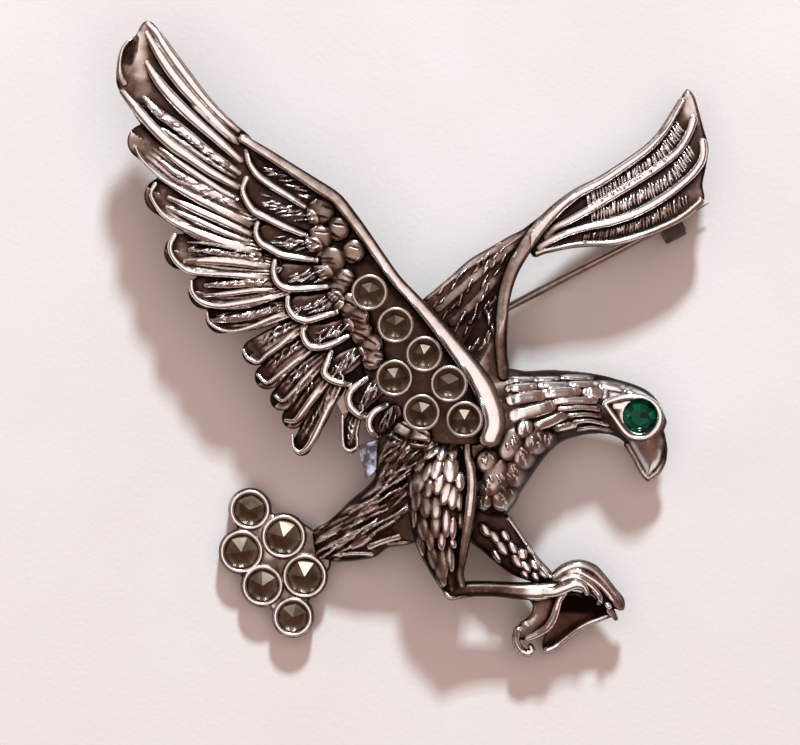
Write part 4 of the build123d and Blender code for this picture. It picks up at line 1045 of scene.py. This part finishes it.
def far_leg():
    """Thigh, the low plank with its rim under the foot, and the toes side by side."""
    r = Relief((3.0, -28.0), (19.6, -12.6), lambda x, y: far_leg_back(x, y) + 1.0, far_leg_back)
    r.sheet(FAR_THIGH_OUTLINE, swell=0.6, reach=1.6)
    r.shade([(5.5, -15.0), (7.5, -17.5), (10.0, -19.6)], 1.8, -0.6)
    r.ridge([(8.3, -15.0), (9.2, -16.3), (10.1, -17.7), (10.9, -18.9), (11.8, -20.0)], 0.24, 0.35, polish_and_painted_light=0.6)
    r.settle()
    for x, y, half, length in FAR_THIGH_FEATHERS:
        r.scale(x, y, half * 1.35, length * 1.3, 0.6, 0.3, rise=0.1, polish_and_painted_light=0.1 if x < 9 else 0.6)
    r.sheet(PLANK_OUTLINE, lift=-0.1)
    r.shade([(15.0, -23.5), (13.4, -24.4), (12.4, -25.4)], 0.9, 0.2)
    # Painted shade: a near-black stretch where the gap between the plank and the toes lies in shadow.
    r.shade([(12.6, -22.3), (14.2, -22.4), (15.6, -22.5)], 0.7, -1.8)
    plank_rim = [(17.1, -23.3), (16.0, -23.75), (15.0, -24.15), (14.0, -24.75), (13.0, -25.55),
                 (12.3, -26.15), (11.65, -26.45)]
    r.rod(plank_rim, [0.26, 0.28, 0.3, 0.3, 0.34], 0.4, [2.95, 2.75, 2.55, 2.25, 1.85, 1.5, 1.4],
          polish_and_painted_light=[0.8, 1.0, 1.2, 1.2])
    r.sheet(TOES_OUTLINE, soft=0.35, level=toes_level)
    r.shade([(12.4, -20.6), (14.4, -19.8), (17.4, -22.3)], 1.6, -0.3)
    r.settle()
    for points, widths, polish_and_painted_light in TOES:
        r.band(points, widths, 0.42, lift=0.05, polish_and_painted_light=polish_and_painted_light)
    r.rod([(16.65, -22.45), (16.8, -22.6)], 0.24, 0.3, 4.3, polish_and_painted_light=1.2)
    r.rod([(16.9, -22.9), (17.2, -23.3), (17.45, -23.7)], [0.34, 0.3, 0.2], 0.3, [3.5, 3.3, 3.1], polish_and_painted_light=0.5)
    return r.mesh("far_leg_cast")


# ---- Settings -----------------------------------------------------------------------------------
# Centre and radius of each tail stone.
TAIL_STONES = [
    (-13.9, -14.4, 1.3), (-11, -16.7, 1.45), (-14.6, -18, 1.42), (-12.8, -20.9, 1.33), (-9.2, -20.1, 1.45),
    (-10.2, -23.6, 1.25),
]
TAIL_WEB = [
    (-13.9, -13.6), (-12.2, -14.6), (-11, -15), (-9.6, -15.4), (-8.4, -16.2), (-7.4, -16.8), (-7, -18),
    (-7, -19.4), (-8, -20.6), (-8.8, -22.2), (-9.4, -24.2), (-11, -24.2), (-12.8, -22), (-14.2, -20.8),
    (-15.6, -18), (-14.9, -15.6),
]


def tail_plate():
    """Six cups on one web."""
    low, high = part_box("tail_plate")
    back, rim = low.z / MM, high.z / MM
    r = Relief((-18.2, -27.0), (-5.0, -11.0), lambda x, y: rim + 0.0 * x, lambda x, y: back + 0.05 + 0.0 * x)
    r.sheet(TAIL_WEB, lift=-0.12)
    r.polish_and_painted_light += 0.45
    for x, y, stone_r in TAIL_STONES:
        r.cup(x, y, stone_r - 0.02, 0.58, rim + 0.05)
    for x, y, stone_r in TAIL_STONES:
        r.hollow(x, y, stone_r - 0.02, back + 0.9)
    r.polish_and_painted_light -= 0.5
    # Painted highlights on the cup rims: the left sides of the two upper cups and the lower left of the
    # lowest one.
    r.shade([(-15.4, -13.6), (-15.2, -15.4)], 0.7, 0.5)
    r.shade([(-11.8, -15.0), (-12.6, -16.0), (-12.2, -18.2)], 0.5, 0.5)
    r.shade([(-12.2, -22.6), (-10.4, -25.1), (-8.8, -24.4)], 0.5, 0.5)
    return r.mesh("tail_plate_cast")


EYE_OUTLINE = [
    (15.95, -5.15), (16.8, -4.75), (18.2, -4.45), (19.7, -4.55), (20.8, -5.1), (21.4, -6.2), (21.15, -7.5),
    (20.2, -8.4), (18.95, -8.5), (17.95, -7.95), (16.9, -6.5), (16.3, -5.7),
]
EYE_RIM = [
    (16.4, -5.3), (17, -5.02), (18.25, -4.72), (19.6, -4.82), (20.6, -5.3), (21.12, -6.25), (20.88, -7.35),
    (20, -8.13), (19, -8.22), (18.15, -7.75), (17.15, -6.4), (16.65, -5.7),
]


def eye_bezel():
    """Drop-shaped setting of the eye: a low field with a bright rim, and a round seat."""
    low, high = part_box("eye_bezel")
    seat = eye_low.z / MM
    rim = high.z / MM
    r = Relief((14.5, -10.0), (23.0, -3.0), lambda x, y: rim - 0.45 + 0.0 * x,
               lambda x, y: low.z / MM + 0.0 * x)
    r.sheet(EYE_OUTLINE, soft=0.15)
    # The rim is painted brighter at its upper left, a painted highlight, and duller at its right and bottom,
    # painted shade.
    r.band(EYE_RIM, [0.26, 0.34, 0.34, 0.3, 0.28], 0.45, polish_and_painted_light=[1.2, 1.2, 0.3, -0.4, -0.3, -0.1, 0.3],
           closed=True)
    # Painted highlight on the upper part of the field beside the stone.
    r.shade([(17.3, -5.45), (18.5, -5.45)], 0.28, 1.8)
    # Painted highlight: a thin crescent between the stone and the lower rim.
    r.shade([(19.2, -7.9), (19.9, -7.85), (20.5, -7.4)], 0.14, 1.2)
    r.hollow(EYE.x, EYE.y, (eye_high.x - eye_low.x) / 2 / MM - 0.1, seat)
    return r.mesh("eye_bezel_cast")


def turned(name, x, y, profile, segments=64):
    """A round piece turned from a profile of radii and heights."""
    rings = len(profile)
    places = [(x + rad * math.cos(a), y + rad * math.sin(a), z) for rad, z in profile
              for a in (2 * math.pi * k / segments for k in range(segments))]
    faces = []
    for i in range(rings):
        j = (i + 1) % rings
        for k in range(segments):
            m = (k + 1) % segments
            faces.append((i * segments + k, i * segments + m, j * segments + m, j * segments + k))
    return make_mesh(name, np.array(places), np.array(faces), np.full(len(places), 0.6))


def collet(node):
    """A thin round cup with a rolled rim, in the place of its CAD node."""
    low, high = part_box(node)
    x, y = (low.x + high.x) / 2 / MM - SHIFT.x, (low.y + high.y) / 2 / MM - SHIFT.y
    outer = (high.x - low.x) / 2 / MM
    base, top = low.z / MM, high.z / MM
    wall = 0.32
    middle = outer - wall / 2
    profile = [(outer - 0.02, base), (outer - 0.02, top - 0.3), (outer, top - 0.18)]
    for k in range(9):
        a = math.pi * k / 8
        profile.append((middle + (wall / 2) * math.cos(a), top - 0.14 + 0.14 * math.sin(a)))
    profile += [(outer - wall, top - 0.3), (outer - wall, base + 0.8), (0.4, base + 0.8), (0.4, base)]
    return turned(node + "_cup", x, y, profile)


# ---- Build and dress ----------------------------------------------------------------------------
silver = cast_silver()
setting = plain_silver("setting_silver", bright=(0.56, 0.50, 0.47))
finding = plain_silver("finding_silver", bright=(0.36, 0.28, 0.25), dark=(0.05, 0.035, 0.03), roughness=0.3)
# The catch is painted nearly black, as painted shade, where it lies in shadow under the far wing.
catch = plain_silver("catch_shaded_silver", bright=(0.06, 0.042, 0.038), dark=(0.02, 0.014, 0.012), roughness=0.35)
# The brace is painted bluish white with dark patches, a painted glint of reflected light.
brace = plain_silver("brace_glint_silver", bright=(0.55, 0.70, 0.95), dark=(0.10, 0.08, 0.09), edge=(0.49, 0.58))
wing_stone = marcasite("wing_marcasite", dark=(0.085, 0.058, 0.042), light=(0.22, 0.165, 0.12))
tail_stone = marcasite("tail_marcasite", dark=(0.13, 0.09, 0.065), light=(0.29, 0.22, 0.16))
emerald = green_stone()

SCULPTS = {
    "near_wing": near_wing, "far_wing": far_wing, "body": body, "near_leg": near_leg, "far_leg": far_leg,
    "tail_plate": tail_plate, "eye_bezel": eye_bezel,
}
for node, sculpt in SCULPTS.items():
    piece = sculpt()
    piece.data.materials.append(silver)
    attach(piece, "bird")
    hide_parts(node)
for node in [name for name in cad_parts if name.startswith("wing_collet")]:
    piece = collet(node)
    piece.data.materials.append(setting)
    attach(piece, "bird")
    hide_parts(node)

# Material of each CAD node that still shows, by how its name starts.
LOOKS = {
    "wing_marcasite": wing_stone, "tail_marcasite": tail_stone, "eye_stone": emerald, "wing_brace": brace,
    "catch": catch, "joint": finding, "pin_stem": finding,
}
for name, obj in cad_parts.items():
    for start, look in LOOKS.items():
        if name.startswith(start):
            for slot in obj.material_slots:
                slot.material = look


# ---- Floor, lights, camera ----------------------------------------------------------------------
VIEW_CENTRE = Vector((-1.02, -2.64, 0)) + SHIFT
VIEW_WIDTH = 68.0 * MM
CAMERA_HEIGHT = 0.45
MIDDLE_HEIGHT = 0.006  # where VIEW_WIDTH is measured, about the middle of the bird


def floor():
    """Plain pale ground with a fine grain."""
    mesh = bpy.data.meshes.new("floor")
    half = 0.6
    corners = [(-half, -half, 0), (half, -half, 0), (half, half, 0), (-half, half, 0)]
    mesh.from_pydata(corners, [], [(0, 1, 2, 3)])
    obj = bpy.data.objects.new("floor", mesh)
    bpy.context.collection.objects.link(obj)
    mat, shader, add, link, texture = nodes_of("pale_leather")
    tint = texture("Noise", Scale=60.0, Detail=4.0)
    colour = ramp_of(add, [(0.3, (0.83, 0.775, 0.755)), (0.7, (0.87, 0.825, 0.81))])
    link(tint, "Fac", colour, "Fac")
    link(colour, "Color", shader, "Base Color")
    shader.inputs["Roughness"].default_value = 0.55
    shader.inputs["Specular IOR Level"].default_value = 0.3
    pores = texture("Voronoi", Scale=1400.0, feature="DISTANCE_TO_EDGE")
    bump = add("Bump", Strength=0.1, Distance=0.0002)
    link(pores, "Distance", bump, "Height")
    link(bump, "Normal", shader, "Normal")
    obj.data.materials.append(mat)


def area_light(name, place, size, power, colour):
    """A square light that looks at the origin."""
    data = bpy.data.lights.new(name, "AREA")
    data.energy = power
    data.color = colour
    data.size = size
    obj = bpy.data.objects.new(name, data)
    obj.location = place
    obj.rotation_euler = (Vector() - Vector(place)).to_track_quat("-Z", "Y").to_euler()
    bpy.context.collection.objects.link(obj)


def light_and_camera():
    """A small key from behind the wings, a wide overhead, a weak side light, and a camera straight above."""
    area_light("key", place=(0.08, 0.82, 0.57), size=0.1, power=11.6, colour=(0.76, 0.92, 0.98))
    area_light("overhead", place=(0, 0, 0.6), size=0.8, power=1.95, colour=(1.0, 0.90, 0.855))
    area_light("side", place=(-0.5, 0.34, 0.34), size=0.4, power=0.25, colour=(1.0, 0.93, 0.9))
    world = bpy.data.worlds.new("studio")
    bpy.context.scene.world = world
    world.use_nodes = True
    background = world.node_tree.nodes["Background"]
    background.inputs["Color"].default_value = (1.0, 0.45, 0.32, 1.0)
    background.inputs["Strength"].default_value = 0.19
    bpy.context.scene.view_settings.view_transform = "Standard"
    data = bpy.data.cameras.new("camera")
    data.sensor_width = 36.0
    data.lens = 36.0 * (CAMERA_HEIGHT - MIDDLE_HEIGHT) / VIEW_WIDTH
    data.clip_start = 0.01
    camera = bpy.data.objects.new("camera", data)
    camera.location = (VIEW_CENTRE.x * MM, VIEW_CENTRE.y * MM, CAMERA_HEIGHT)
    bpy.context.collection.objects.link(camera)
    bpy.context.scene.camera = camera


floor()
light_and_camera()


def plain(box):
    return [list(corner) for corner in box]
